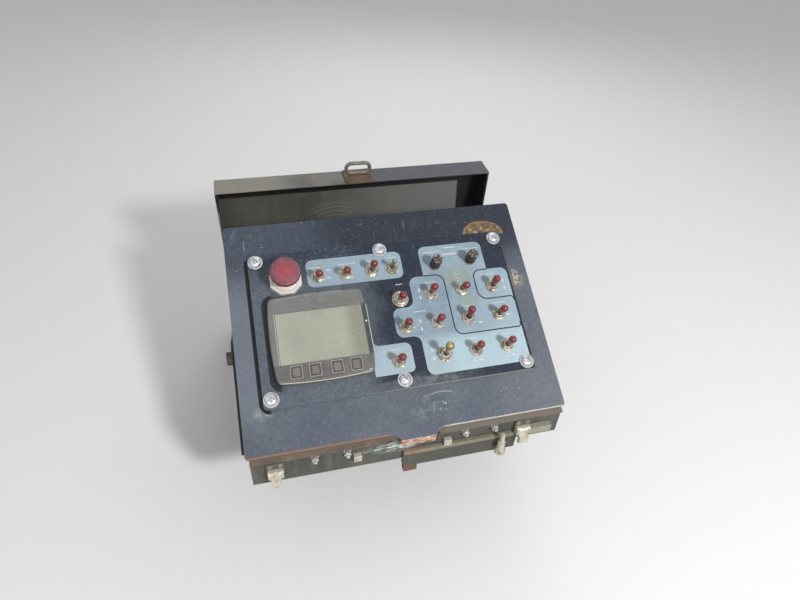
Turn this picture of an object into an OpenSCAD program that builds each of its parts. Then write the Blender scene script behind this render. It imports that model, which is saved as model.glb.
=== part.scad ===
// Screed control box of an asphalt paver: a wedge-shaped sheet-metal console with a sloped
// face of toggles, knobs, a display and a stop button, and a swing-over guard cover that is
// carried on two arms and stands open behind it. +Z up, +X to the operator's right,
// the operator stands on the -Y side. Origin: centre of the base bolt pattern, underside.
// Every "face" coordinate is measured on the sloped face: x across, y up the slope from the
// front edge, z square to the face.

/* [Box] */
// width of the face plate, mm
face_w = 368; // [356:1:384]
// length of the face plate up its slope, mm
face_l = 276; // [272:1:284]
// slope of the face from level, degrees
slope = 28; // [26:0.5:30]
// thickness of the face plate, mm
plate_t = 3; // [2:0.5:4]
// sheet thickness of the tub, mm
wall_t = 2; // [1.5:0.5:3]
// height of the face's front edge over the mounting plane, mm
nose_z = 75; // [73:1:84]
// upright front wall below the face's front edge, mm
nose_drop = 44; // [40:1:48]
// how far the tub's sides stand in from the face plate's edges, mm
tub_inset = 4; // [3:0.5:5]

/* [Front edge] */
// how far the tub's front flange and the centre tab stand out, mm
flange_out = 6.6; // [6:0.2:8]
// width of the centre tab, mm
tab_w = 40; // [34:1:50]
// radius of the rounded inner corners beside the tab, mm
notch_r = 12; // [10:1:16]
// height of the tab's turned-down lip, mm
lip_h = 11; // [8:1:14]

/* [Mounting] */
// thickness of the mounting plate, mm
base_t = 5; // [4:1:6]
// bolt spacing across, mm
bolt_dx = 200; // [160:5:240]
// bolt spacing front to back, mm
bolt_dy = 120; // [100:5:140]
// diameter of the mounting holes, mm
bolt_hole_d = 9; // [8.5:0.5:11]

/* [Control panel] */
// width of the control panel, mm
panel_w = 318; // [316:1:322]
// height of the control panel, mm
panel_l = 186; // [184:1:189]
// thickness of the control panel, mm
panel_t = 3; // [2:0.5:3.5]
// middle of the control panel above the face's front edge, mm
panel_y = 141.7; // [141:0.1:143]
// diameter of the toggle bushings, mm
bush_d = 11.9; // [11:0.1:12.2]
// height of the toggle tips over the panel, mm
lever_h = 26; // [22:0.5:27]
// diameter of the red lever caps, mm
cap_d = 9; // [7:0.2:10]
// diameter of the stop button's head, mm
stop_d = 35; // [30:0.5:38]
// height of the stop button over the panel, mm
stop_h = 33; // [29:0.5:34]
// diameter of the two knobs, mm
knob_d = 13.5; // [12:0.5:16]
// height of the knobs over the panel, mm
knob_h = 22; // [18:0.5:24]

/* [Display] */
// width of the display housing, mm
disp_w = 115; // [112:1:118]
// height of the display housing, mm
disp_l = 106; // [104:1:108]
// how far the display housing stands out of the panel, mm
disp_h = 9; // [6:0.5:12]

/* [Guard cover] */
// sheet thickness of the cover, mm
cover_t = 2; // [1.5:0.5:2.5]
// side gap between the face plate and the cover, mm
cover_gap = 6; // [5.5:0.5:9]
// depth of the cover at its front flange, mm
cover_d = 33; // [31:1:38]
// rise of the cover's top towards its back when closed, degrees
cover_rise = 8; // [7.5:0.5:10]
// angle from closed to open, degrees
swing = 116; // [112:1:120]
// place of the pivot up the slope, mm
pivot_y = 154.5; // [150:0.5:158]
// depth of the pivot under the face, mm
pivot_z = 135.7; // [134:0.1:137]
// thickness of the cover's arms, mm
arm_t = 3; // [3:0.5:4]
// width of the cover's arms at the pivot, mm
arm_w = 38; // [34:1:44]
// diameter of the pivot bolts, mm
pivot_d = 10; // [8:0.5:12]

/* [Hidden] */
$fn = 48;
e = 0.01;
y_front = -face_l * cos(slope) / 2;      // world Y of the face's front edge
tub_w = face_w - 2 * tub_inset;
back_y = face_l * cos(slope);            // plan depth of the face
wall_y = -1;                             // front wall from the face's front edge
stud_z = -12.5;                          // small screws below the face's front edge
stud_out = 8;                            // how far they stand out of the wall
angle_x = [-12, 126];                    // mounting angle across
angle_z = [-nose_drop - 11.5, -28];      // and up the wall
angle_t = 4;
latch_x = [-154.5, 131];                 // the two front latches
tab_x = 3.8;                             // middle of the centre tab across
back_in = 2.7;                           // back wall in from the face's back edge
floor_dz = -(nose_z - base_t);           // tub's underside below the face's front edge
chin_y = 20;                             // where the chin meets the bottom
cover_in = face_w / 2 + cover_gap;       // inner half width of the cover
cover_out = cover_in + cover_t;
arm_out = cover_out + arm_t;
front_gap = 8.4;                         // closed cover's front flange from the tab
cov_y0 = -flange_out - front_gap - cover_t;  // outer face of the closed front flange
cov_y1 = face_l + 8;                     // outer face of the closed back flange
cov_z1 = cover_d + (cov_y1 - cov_y0) * tan(cover_rise);
piv_w = [0, pivot_y * cos(slope) + pivot_z * sin(slope),
  pivot_y * sin(slope) - pivot_z * cos(slope)];  // pivot in world, from the front edge
slot_r = 16;                             // stop slot round the pivot
pin_d = 6;
slot_a = 100;                            // face angle of the stop pin
slot_h = pin_d / 2 + 0.3;                // half width of the slot
slot_a0 = slot_a - asin(slot_h / slot_r);
slot_sweep = swing + 2 * asin(slot_h / slot_r);
panel_top = panel_t;                     // top of the control panel over the face
pad_t = 0.4;
kx = panel_w / 318;                      // the panel's layout follows its width
ky = panel_l / 186;                      // and its length
screw_dx = panel_w / 2 - 9.1;
screw_dy = panel_l / 2 - 10.3;
px = 0;                                  // middle of the control panel across
function on_x(x) = px + (x - px) * kx;   // a place on the panel, from the measured one
function on_y(y) = panel_y + (y - 141.7) * ky;
col_dx = 39.45 * kx;                     // distance between toggle columns
row_dy = 39.1 * ky;                      // distance between toggle rows
col0 = on_x(13.5);                       // first toggle column
row0 = on_y(82);                         // first toggle row
dx0 = on_x(-87);                         // middle of the display across
dy0 = on_y(123.6);                       // middle of the display up the slope
washer_d = bush_d * 1.43;
nut_af = bush_d * 1.2;
ring_d = bush_d * 1.47;
body_w = bush_d * 1.09;                  // toggle bodies under the panel
gland_at = [150, 20];                    // cable gland in the underside, world
gland_d = 20;
// toggles: column, row, kind (0 red cap, 1 bare, 2 ball, 3 big ring), lean deg, on a pad
C = 0; R = 1; KIND = 2; LEAN = 3; PAD = 4;
toggles = [
  [-2.349, 2.975, 0, 18, 1], [-1.523, 2.975, 0, 18, 1], [-0.688, 2.975, 0, 2, 1],
  [-0.068, 2.975, 1, 2, 1], [0, 1.918, 3, 11, 0], [0.995, 2.0, 0, 3.5, 1],
  [1.995, 2.0, 0, 13, 1], [3.0, 1.985, 0, -2, 1], [0, 0.992, 0, 1, 1],
  [0.995, 1.015, 0, 4, 1], [1.98, 1.03, 0, -12, 1], [2.985, 1.03, 0, 4, 1],
  [0.987, -0.025, 2, -5, 1], [1.985, 0, 0, 1, 1], [2.98, 0, 0, 0, 1], [-0.4, -0.025, 0, 4, 1]];
function tog(t) = [col0 + t[C] * col_dx, row0 + t[R] * row_dy];
function seat(t) = panel_top + t[PAD] * pad_t;
knob_at = [[on_x(64.6), on_y(195.1)], [on_x(111), on_y(197)]];
disp_gap = 1.65;                         // between the display and the stop button's ring
ring_w = stop_d + 1.5;                   // the ring across its flats
stop_at = [on_x(-117.8), dy0 + disp_l / 2 + disp_gap + ring_w / 2];
body_deep = bush_d * 1.765;              // toggle bodies' depth under the panel
ball_d = bush_d * 0.84;
stud_x = [-111.8, -76.3, 60.2, 95.6];

module at_face() { translate([0, y_front, nose_z]) rotate([slope, 0, 0]) children(); }
module at_front() { translate([0, y_front, nose_z]) children(); }
module at_pivot() { at_face() translate([0, pivot_y, -pivot_z]) children(); }
// the cover is drawn closed in face coordinates and swung open about the pivot
module swung() {
  at_pivot() rotate([-swing, 0, 0]) translate([0, -pivot_y, pivot_z]) children();
}
module yz(w) { rotate([90, 0, 90]) linear_extrude(w, center = true) children(); }
module rrect(w, l, r) {
  union() {
    square([w - 2 * r, l], center = true);
    square([w, l - 2 * r], center = true);
    for (sx = [-1, 1], sy = [-1, 1])
      translate([sx * (w / 2 - r), sy * (l / 2 - r)]) circle(r);
  }
}
module hex(af, h) { cylinder(d = af / cos(30), h = h, $fn = 6); }

// profiles from the face's front edge, y back and z up, of one folded sheet: front flange, land
// under the face plate and upright wall; sloped chin; bottom; back
function under(y, d) = y * tan(slope) - d / cos(slope);
function down(y, z) = [y * cos(slope) - z * sin(slope), y * sin(slope) + z * cos(slope)];
skin = plate_t + wall_t;
inner_y = wall_y + wall_t;
rear_y = back_y - back_in;
fold = 0.4 * wall_t;                     // set-back of the sheet's inside at the two slanted folds
flange_end = [down(-flange_out, -plate_t), down(-flange_out, -skin)];
wall_end = [[wall_y, -nose_drop], [inner_y, fold - nose_drop]];
chin_end = [[chin_y, floor_dz], [chin_y + fold, floor_dz + wall_t]];
back_end = [[rear_y, floor_dz], [rear_y - wall_t, floor_dz + wall_t]];
back_top = [[rear_y, under(rear_y, plate_t)], [rear_y - wall_t, under(rear_y - wall_t, plate_t)]];
front_profile = concat(flange_end, [[wall_y, under(wall_y, skin)]], wall_end,
  [[inner_y, under(inner_y, skin)], down(8, -skin), down(8, -plate_t)]);
tub_profile = concat(flange_end, [[wall_y, under(wall_y, skin)], wall_end[0], chin_end[0],
  back_end[0], back_top[0]]);
module sheet(p) { at_front() yz(tub_w - 2 * wall_t) polygon(p); }
module tub_front() color([0.26, 0.29, 0.29]) difference() {
  sheet(front_profile);
  // the flange stops beside the tab and has one small slot
  at_front() translate([tab_x - tab_w / 2 - 5, wall_y - 20.4, -20]) cube([tab_w + 10, 20, 40]);
  at_face() translate([-33, -flange_out + 0.8, -skin - 1]) cube([6, 1.6, wall_t + 2]);
  for (x = stud_x) at_front() translate([x, wall_y, stud_z]) rotate([-90, 0, 0])
    translate([0, 0, -1]) cylinder(d = 4.2, h = wall_t + 2);
}
module tub_chin() color([0.26, 0.29, 0.29])
  sheet([wall_end[0], chin_end[0], chin_end[1], wall_end[1]]);
module tub_bottom() color([0.26, 0.29, 0.29]) difference() {
  sheet([chin_end[0], back_end[0], back_end[1], chin_end[1]]);
  for (sx = [-1, 1], sy = [-1, 1])
    translate([sx * bolt_dx / 2, sy * bolt_dy / 2, base_t - 1])
      cylinder(d = bolt_hole_d, h = wall_t + 2);
  translate(concat(gland_at, [base_t - 1])) cylinder(d = gland_d, h = wall_t + 2);
}
module tub_back() color([0.26, 0.29, 0.29])
  sheet([back_end[0], back_top[0], back_top[1], back_end[1]]);
module tub_sides() color([0.26, 0.29, 0.29]) difference() {
  at_front() for (s = [-1, 1]) translate([s * (tub_w - wall_t) / 2, 0, 0]) yz(wall_t) polygon(tub_profile);
  for (s = [-1, 1]) at_pivot() rotate([0, s * 90, 0]) cylinder(d = pivot_d, h = tub_w);
  at_stop_pins() cylinder(d = pin_d, h = tub_w);
}

module mount_plate() color([0.30, 0.29, 0.27]) difference() {
  linear_extrude(base_t) rrect(bolt_dx + 44, bolt_dy + 44, 8);
  for (sx = [-1, 1], sy = [-1, 1]) translate([sx * bolt_dx / 2, sy * bolt_dy / 2, -1])
    cylinder(d = bolt_hole_d, h = base_t + 2);
}

module mount_angle() color([0.42, 0.40, 0.35]) at_front() {
  translate([angle_x[0], wall_y - angle_t, angle_z[0]])
    cube([angle_x[1] - angle_x[0], angle_t, angle_z[1] - angle_z[0]]);
  translate([angle_x[0], wall_y - angle_t, angle_z[0]])
    cube([angle_x[1] - angle_x[0], angle_t * 2, angle_t]);
}

// face plate with its cut-back front edge, centre tab and turned-down lip
module face_outline() {
  union() {
    difference() {
      union() {
        translate([0, face_l / 2]) rrect(face_w, face_l, 4);
        translate([tab_x - tab_w / 2 - notch_r, -flange_out])
          square([tab_w + 2 * notch_r, flange_out + 6]);
      }
      for (s = [-1, 1])
        translate([tab_x + s * (tab_w / 2 + sqrt(notch_r * notch_r
            - pow(notch_r - flange_out, 2))), -notch_r]) circle(notch_r);
      for (s = [-1, 1])
        translate([tab_x + s * (tab_w / 2 + notch_r * 2), -notch_r - e]) square(
          [notch_r * 2 + 2, notch_r * 2], center = true);
    }
  }
}
module face_plate() color([0.15, 0.17, 0.20]) at_face() difference() {
  union() {
    translate([0, 0, -plate_t]) linear_extrude(plate_t) face_outline();
    translate([tab_x, -flange_out, 0]) rotate([-slope, 0, 0])
      translate([-tab_w / 2, 0, -lip_h]) cube([tab_w, plate_t, lip_h]);
  }
  translate([px, panel_y, -plate_t - 1]) linear_extrude(plate_t + 2)
    rrect(panel_w - 32, panel_l - 36, 6);
  for (sx = [-1, 0, 1], sy = [-1, 1])
    translate([px + sx * screw_dx, panel_y + sy * screw_dy, -plate_t - 1])
      cylinder(d = 5, h = plate_t + 2);
}

module side_rails() color([0.05, 0.05, 0.06]) at_face()
  for (s = [-1, 1]) translate([s * (tub_w / 2 + 3.5), 64, -14]) difference() {
    cube([7, 112, 14], center = true);
    translate([s * 2.5, 0, -2.5]) cube([7, 120, 14], center = true);
  }

// small screws through the front wall, their nuts towards the operator
module front_studs() color([0.60, 0.58, 0.52]) at_front() for (x = stud_x)
  translate([x, wall_y + wall_t + 3, stud_z]) rotate([90, 0, 0]) {
    hex(7, 3);
    cylinder(d = 4, h = 3 + wall_t + stud_out);
  }
module front_nuts() color([0.72, 0.70, 0.62]) at_front() for (x = stud_x)
  translate([x, wall_y, stud_z]) rotate([90, 0, 0]) difference() {
    union() {
      cylinder(d = 8.6, h = 0.9);
      translate([0, 0, 0.9]) hex(7, 4);
    }
    translate([0, 0, -1]) cylinder(d = 4, h = 8);
  }

// square nuts half way down the front wall
module wall_nuts() color([0.76, 0.73, 0.64]) at_front() for (x = [-65, 39.5])
  translate([x, wall_y, -23.2]) rotate([90, 0, 0]) {
    translate([0, 0, 2.5]) cube([8.6, 9.6, 5], center = true);
    cylinder(d = 5, h = 6.4);
  }

// front latches: riveted plate, hook body and the hinged catch that hangs from it
module at_latch() { at_front() for (x = latch_x) translate([x, wall_y, 0]) children(); }
module latch_plates() color([0.33, 0.34, 0.32]) at_latch()
  translate([-9.5, -3, -27]) difference() {
    cube([19, 3, 18.5]);
    for (x = [4, 15]) translate([x, -1, 14]) rotate([-90, 0, 0]) cylinder(d = 3.2, h = 5);
  }
module latch_rivets() color([0.60, 0.58, 0.52]) at_latch()
  for (x = [-5.5, 5.5]) translate([x, 1, -13]) rotate([90, 0, 0]) {
    translate([0, 0, 1]) cylinder(d = 3.2, h = 3);
    translate([0, 0, 4]) cylinder(d1 = 6, d2 = 4, h = 1.4);
  }
module latch_bodies() color([0.72, 0.69, 0.60]) at_latch() translate([-8.3, 0, 0]) rotate([90, 0, 90])
  difference() {
    linear_extrude(16.6) polygon([[-3, -17.6], [-7, -17.6], [-9.4, -19.6], [-9.4, -27], [-3, -27]]);
    translate([0, 0, 2.4]) linear_extrude(11.8) polygon([[-4, -20], [-12, -20], [-12, -28], [-4, -28]]);
  }
module latch_catches() color([0.78, 0.74, 0.64]) at_latch() translate([-5.6, 0, 0]) rotate([90, 0, 90])
  linear_extrude(11.2) polygon([[-4.3, -20.4], [-9, -20.4], [-9.6, -27.3], [-13.2, -28], [-13.8, -36.5],
    [-11.8, -38.6], [-9, -38.6], [-9, -30], [-4.3, -27.6]]);

// flat bar beside the right latch
module end_bar() color([0.62, 0.58, 0.48]) at_front()
  translate([latch_x[1] + 9.6, wall_y - 7, -32]) cube([27, 7, 10]);

// screw that hangs in front of the angle, its flanged head down
module hanger_bolt() color([0.70, 0.67, 0.58]) at_front()
  translate([104, wall_y - angle_t - 7.3, -48.5]) {
    cylinder(d = 14, h = 2.4);
    hex(10, 5);
    cylinder(d = 8.6, h = 18);
    cylinder(d = 5, h = 31);
  }

module lock_lug() color([0.45, 0.33, 0.28]) at_front()
  translate([-3, wall_y - angle_t, angle_z[0] - 10.5]) difference() {
    translate([-8, 0, 0]) cube([16, angle_t * 2, 10.5]);
    translate([-20, angle_t, 5]) rotate([0, 90, 0]) cylinder(d = 5, h = 40);
  }

module toggle_hole(d, h) { for (t = toggles) translate(concat(tog(t), [0])) cylinder(d = d, h = h); }

module display_outline(g) {
  w = disp_w + 2 * g;
  l = disp_l + 2 * g;
  intersection() {
    rrect(w, l, 8 + g);
    for (s = [-1, 1]) translate([s * (480 - w / 2), 0]) circle(480, $fn = 360);
    for (s = [-1, 1]) translate([0, s * (500 - l / 2)]) circle(500, $fn = 360);
  }
}
module control_panel() color([0.06, 0.08, 0.13]) at_face() difference() {
  translate([px, panel_y, 0]) linear_extrude(panel_t) rrect(panel_w, panel_l, 5);
  for (sx = [-1, 0, 1], sy = [-1, 1])
    translate([px + sx * screw_dx, panel_y + sy * screw_dy, -1]) cylinder(d = 5.6, h = panel_t + 2);
  translate([0, 0, -1]) toggle_hole(bush_d, panel_t + 2);
  for (k = knob_at) translate(concat(k, [-1])) cylinder(d = 9, h = panel_t + 2);
  translate(concat(stop_at, [-1])) cylinder(d = 22, h = panel_t + 2);
  translate([dx0, dy0, -1]) linear_extrude(panel_t + 2) square([disp_w - 28, disp_l - 28], center = true);
}

// printed light areas: union of blocks between measured edges left, right, lower, upper
module block(x0, x1, y0, y1, r) {
  translate([(on_x(x0) + on_x(x1)) / 2, (on_y(y0) + on_y(y1)) / 2])
    rrect(on_x(x1) - on_x(x0), on_y(y1) - on_y(y0), r);
}
module pad_outline() {
  difference() {
    union() {
      block(-92.4, 24.2, 184.8, 220.4, 8);
      block(47.9, 130.3, 169.1, 222.5, 8);
      block(28.7, 155.9, 59.5, 183.1, 8);
      block(1.3, 61.1, 108.5, 145.5, 9);
      block(-48.9, 15, 66.8, 102.6, 7);
    }
    translate([dx0, dy0]) display_outline(1);
  }
}
module legend_pads() color([0.55, 0.68, 0.74]) at_face() translate([0, 0, panel_top]) difference() {
  linear_extrude(pad_t) pad_outline();
  for (t = toggles) if (t[PAD] == 1) translate(concat(tog(t), [-1])) cylinder(d = bush_d, h = 3);
  translate(concat(tog(toggles[4]), [-1])) cylinder(d = 24, h = 3);
  for (k = knob_at) translate(concat(k, [-1])) cylinder(d = 9, h = 3);
  for (sx = [-1, 0, 1], sy = [-1, 1])
    translate([px + sx * screw_dx, panel_y + sy * screw_dy, -1]) cylinder(d = 18, h = 3);
}

module at_screws() {
  at_face() for (sx = [-1, 0, 1], sy = [-1, 1])
    translate([px + sx * screw_dx, panel_y + sy * screw_dy, panel_top]) children();
}
module panel_washers() color([0.72, 0.73, 0.76]) at_screws() difference() {
  cylinder(d = 17.5, h = 1.5);
  translate([0, 0, -1]) cylinder(d = 5.6, h = 4);
}
module panel_screws() color([0.80, 0.81, 0.85]) at_screws() difference() {
  union() {
    translate([0, 0, 1.5]) intersection() {
      cylinder(d = 14, h = 4.2);
      translate([0, 0, -5.2]) sphere(r = 9.2);
    }
    translate([0, 0, -panel_t - plate_t - 3]) cylinder(d = 5, h = panel_t + plate_t + 5);
  }
  for (a = [0, 90]) rotate([0, 0, a]) translate([0, 0, 5]) cube([6, 1.3, 4], center = true);
}

module display_housing() color([0.13, 0.13, 0.12]) at_face()
  translate([dx0, dy0, panel_top]) difference() {
    union() {
      linear_extrude(disp_h - 1.5) display_outline(0);
      translate([0, 0, disp_h - 1.5]) linear_extrude(1.5) display_outline(-1.5);
      translate([0, 0, -panel_t - 22]) linear_extrude(27) square([disp_w - 30, disp_l - 30], center = true);
    }
    translate([1, -0.2, disp_h - 1.2]) linear_extrude(3)
      rrect(disp_w - 15.8, disp_l - 45.4, 1.5);
  }
module display_glass() color([0.46, 0.49, 0.40]) at_face()
  translate([dx0 + 1, dy0 - 0.2, panel_top + disp_h - 1.2]) linear_extrude(0.9)
    rrect(disp_w - 16.2, disp_l - 45.8, 1.3);
module soft_keys() color([0.16, 0.16, 0.15]) at_face()
  for (x = [-32.6, -11.7, 13, 34.4])
    translate([dx0 + x * disp_w / 115, dy0 - disp_l * 0.377, panel_top + disp_h])
      linear_extrude(0.8) rrect(14, 15.6, 1);
module display_lamp() color([0.75, 0.80, 0.70]) at_face()
  translate([dx0 + disp_w / 2 - 3.8, dy0 + 8.7, panel_top + disp_h]) cylinder(d = 2.4, h = 0.6);

module at_stop() { at_face() translate([stop_at[0], stop_at[1], panel_top]) children(); }
module stop_ring() color([0.62, 0.62, 0.62]) at_stop() difference() {
  rotate([0, 0, 22.5]) cylinder(d = ring_w / cos(22.5), h = 7, $fn = 8);
  translate([0, 0, -1]) cylinder(d = 22, h = 9);
}
module stop_collar() color([0.10, 0.10, 0.10]) at_stop()
  translate([0, 0, -panel_t - 16]) cylinder(d = 22, h = panel_t + 16 + stop_h - 10);
module stop_head() color([0.50, 0.10, 0.12]) at_stop() translate([0, 0, stop_h - 10]) rotate_extrude()
  union() {
    translate([0, 2]) square([stop_d / 2, 4]);
    square([stop_d / 2 - 2, 3]);
    intersection() {
      translate([0, 6]) square([stop_d / 2, 4]);
      translate([0, -56]) circle(66, $fn = 120);
    }
    translate([stop_d / 2 - 2, 2]) circle(2);
  }

// one toggle: body under the panel, threaded bushing, washer, nut, bat lever and cap
module switch_bodies() color([0.35, 0.35, 0.36]) at_face() for (t = toggles)
  translate(concat(tog(t), [seat(t)])) {
    difference() {
      translate([0, 0, -seat(t) - 1]) cylinder(d = bush_d, h = seat(t) + 1 + (t[KIND] == 2 ? 8 : 6.5));
      translate([0, 0, 2.5]) cylinder(d = 6.4, h = 8);
    }
    translate([-body_w / 2, -body_w * 0.85, -seat(t) - body_deep])
      cube([body_w, body_w * 1.7, body_deep - e]);
  }
module switch_washers() color([0.66, 0.65, 0.60]) at_face() for (t = toggles)
  translate(concat(tog(t), [seat(t)])) difference() {
    cylinder(d = t[KIND] == 3 ? washer_d + 3 : washer_d, h = 1);
    translate([0, 0, -1]) cylinder(d = bush_d, h = 4);
  }
module switch_nuts() color([0.70, 0.69, 0.62]) at_face() for (t = toggles)
  translate(concat(tog(t), [seat(t) + 1])) difference() {
    if (t[KIND] == 3) cylinder(d = ring_d, h = 4);
    else rotate([0, 0, 17 * t[R]]) hex(nut_af, t[KIND] == 2 ? 5 : 2.6);
    translate([0, 0, -1]) cylinder(d = bush_d, h = 8);
  }
module lever_at(t) {
  at_face() translate(concat(tog(t), [seat(t) + 6])) rotate([t[LEAN], 0, 0]) children();
}
module switch_levers() color([0.60, 0.60, 0.58]) for (t = toggles) lever_at(t)
  translate([0, 0, -3]) {
    cylinder(d1 = 4, d2 = t[KIND] == 2 ? 3.4 : 5.2,
      h = lever_h + (t[KIND] == 2 ? 2 : t[KIND] == 1 ? -7 : -6));
    if (t[KIND] == 1) translate([0, 0, lever_h - 7]) sphere(d = 5.2);
  }
module lever_caps() color([0.48, 0.05, 0.07]) for (t = toggles)
  if (t[KIND] == 0 || t[KIND] == 3) lever_at(t) translate([0, 0, 4]) difference() {
    union() {
      cylinder(d1 = cap_d - 2.2, d2 = cap_d, h = lever_h - 10 - cap_d / 2);
      translate([0, 0, lever_h - 10 - cap_d / 2]) sphere(d = cap_d);
    }
    translate([0, 0, -7]) cylinder(d1 = 4, d2 = 5.2, h = lever_h - 6);
  }
module brass_ball() color([0.55, 0.45, 0.22]) for (t = toggles) if (t[KIND] == 2) lever_at(t)
  difference() {
    union() {
      translate([0, 0, lever_h - 3]) sphere(d = ball_d);
      translate([0, 0, 9]) cylinder(d1 = 5, d2 = 7, h = lever_h - 13);
    }
    translate([0, 0, -3]) cylinder(d1 = 4, d2 = 3.4, h = lever_h + 2);
  }

module knob_bushings() color([0.62, 0.60, 0.55]) at_face() for (k = knob_at)
  translate(concat(k, [panel_top + pad_t])) {
    difference() {
      hex(12.7, 2.4);
      translate([0, 0, -1]) cylinder(d = 9, h = 5);
    }
    translate([0, 0, -panel_t - pad_t - 6]) cylinder(d = 9, h = panel_t + pad_t + 10);
    translate([0, 0, -panel_t - pad_t - 14]) cylinder(d = 22, h = 14 - e);
    translate([0, 0, 0]) cylinder(d = 6, h = 14);
  }
module knobs() color([0.12, 0.10, 0.09]) at_face() for (k = knob_at)
  translate(concat(k, [panel_top + pad_t + 4.6])) difference() {
    union() {
      cylinder(d1 = knob_d + 0.6, d2 = knob_d, h = knob_h - 6);
      translate([0, 0, knob_h - 6]) cylinder(d1 = knob_d, d2 = knob_d - 2, h = 1);
    }
    translate([0, 0, -1]) cylinder(d = 6, h = 10.4);
  }

// cable gland in the underside, beside the mounting plate
module at_gland() { translate(concat(gland_at, [base_t])) rotate([180, 0, 0]) children(); }
module cable_gland() color([0.08, 0.08, 0.08]) at_gland() difference() {
  union() {
    translate([0, 0, -wall_t - 8]) cylinder(d = gland_d, h = wall_t + 8 + 2);
    hex(gland_d * 1.2, 6);
    translate([0, 0, 6]) cylinder(d = gland_d * 1.05, h = 8);
    translate([0, 0, 14]) cylinder(d1 = gland_d * 1.05, d2 = gland_d * 0.75, h = 5);
  }
  translate([0, 0, -wall_t - 9]) cylinder(d = gland_d / 2, h = 40);
}
module gland_nut() color([0.10, 0.10, 0.10]) at_gland() translate([0, 0, -wall_t - 5]) difference() {
  hex(gland_d * 1.2, 5);
  translate([0, 0, -1]) cylinder(d = gland_d, h = 8);
}

// pivots of the cover's arms
module at_pivots() { for (s = [-1, 1]) at_pivot() rotate([0, s * 90, 0]) children(); }
module pivot_spacers() color([0.45, 0.43, 0.40]) at_pivots()
  translate([0, 0, tub_w / 2]) difference() {
    cylinder(d = pivot_d + 9, h = cover_out - tub_w / 2 - 0.3);
    translate([0, 0, -1]) cylinder(d = pivot_d, h = 20);
  }
module pivot_bolts() color([0.52, 0.50, 0.46]) at_pivots() {
  translate([0, 0, tub_w / 2 - wall_t - 12]) cylinder(d = pivot_d, h = arm_out - tub_w / 2 + wall_t + 13);
  translate([0, 0, arm_out + 0.3]) cylinder(d = pivot_d * 2, h = 1.6);
  translate([0, 0, arm_out + 1.9]) hex(pivot_d * 1.6, pivot_d * 0.6);
}
module pivot_nuts() color([0.55, 0.53, 0.48]) at_pivots()
  translate([0, 0, tub_w / 2 - wall_t - pivot_d * 0.8]) difference() {
    hex(pivot_d * 1.6, pivot_d * 0.8);
    translate([0, 0, -1]) cylinder(d = pivot_d, h = pivot_d);
  }
module at_stop_pins() {
  for (s = [-1, 1]) at_pivot() rotate([slot_a - 90, 0, 0]) translate([0, 0, slot_r])
    rotate([0, s * 90, 0]) children();
}
module stop_pins() color([0.52, 0.50, 0.46]) at_stop_pins()
  translate([0, 0, tub_w / 2 - wall_t - 2]) cylinder(d = pin_d, h = arm_out - tub_w / 2 + wall_t + 5);

// guard cover: a folded pan, deeper towards the back, drawn closed
module cover_pan() color([0.30, 0.31, 0.29]) swung() difference() {
  yz(2 * cover_out) polygon([[cov_y0, 0], [cov_y0, cover_d], [cov_y1, cov_z1], [cov_y1, 0]]);
  yz(2 * cover_in) polygon([[cov_y0 + cover_t, -1], [cov_y0 + cover_t, cover_d - cover_t],
    [cov_y1 - cover_t, cov_z1 - cover_t * 1.15], [cov_y1 - cover_t, -1]]);
  for (s = [-1, 1], p = arm_holes) translate([s * cover_in - s, p[0], p[1]]) rotate([0, s * 90, 0])
    cylinder(d = 6.2, h = 6);
}
arm_holes = [[face_l - 60, 12], [face_l - 24, 12], [face_l - 42, 44]];
// one arm seen from the side, y up the slope and z square to the face
module arm_outline() {
  difference() {
    union() {
      translate([pivot_y, -pivot_z]) circle(24);
      polygon([[face_l - 72, 2], [face_l - 56, 54], [face_l - 28, 54], [face_l - 12, 2],
        [pivot_y + arm_w / 2, 8 - pivot_z], [pivot_y - arm_w / 2, 12 - pivot_z]]);
    }
    translate([pivot_y, -pivot_z]) circle(d = pivot_d + 0.16);
    // slot that runs on the stop pin and ends the swing both ways
    translate([pivot_y, -pivot_z]) difference() {
      intersection() {
        circle(slot_r + slot_h);
        polygon(concat([[0, 0]], [for (i = [0 : 4]) 40
          * [cos(slot_a0 + i * slot_sweep / 4), sin(slot_a0 + i * slot_sweep / 4)]]));
      }
      circle(slot_r - slot_h);
    }
    for (p = arm_holes) translate(p) circle(d = 6.2);
  }
}
module cover_arms() color([0.16, 0.17, 0.18]) swung()
  for (s = [-1, 1]) translate([s * (cover_out + arm_t / 2), 0, 0])
    rotate([90, 0, 90]) linear_extrude(arm_t, center = true) arm_outline();
module arm_bolts() color([0.50, 0.48, 0.44]) swung()
  for (s = [-1, 1], p = arm_holes) translate([s * (cover_in - 4.5), p[0], p[1]]) rotate([0, s * 90, 0]) {
    cylinder(d = 6.2, h = 4.5 + cover_t + arm_t);
    hex(10, 4.5);
    translate([0, 0, 4.5 + cover_t + arm_t]) cylinder(d = 11, h = 3);
  }

// padlock eye on the cover's front flange
module lock_base() color([0.42, 0.28, 0.18]) swung()
  translate([2 - 19.5, cov_y0 - 2.5, -1.5]) cube([39, 2.5, cover_d - 0.5]);
module stadium(w, l) {
  union() {
    square([w - l, l], center = true);
    for (s = [-1, 1]) translate([s * (w - l) / 2, 0]) circle(d = l);
  }
}
module lock_eye() color([0.55, 0.54, 0.50]) swung()
  translate([2, cov_y0 - 2.5, 17]) rotate([0, 0, 180]) translate([0, 10, -2.5]) linear_extrude(5)
    difference() {
      stadium(38, 20);
      stadium(26, 10);
    }

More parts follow.
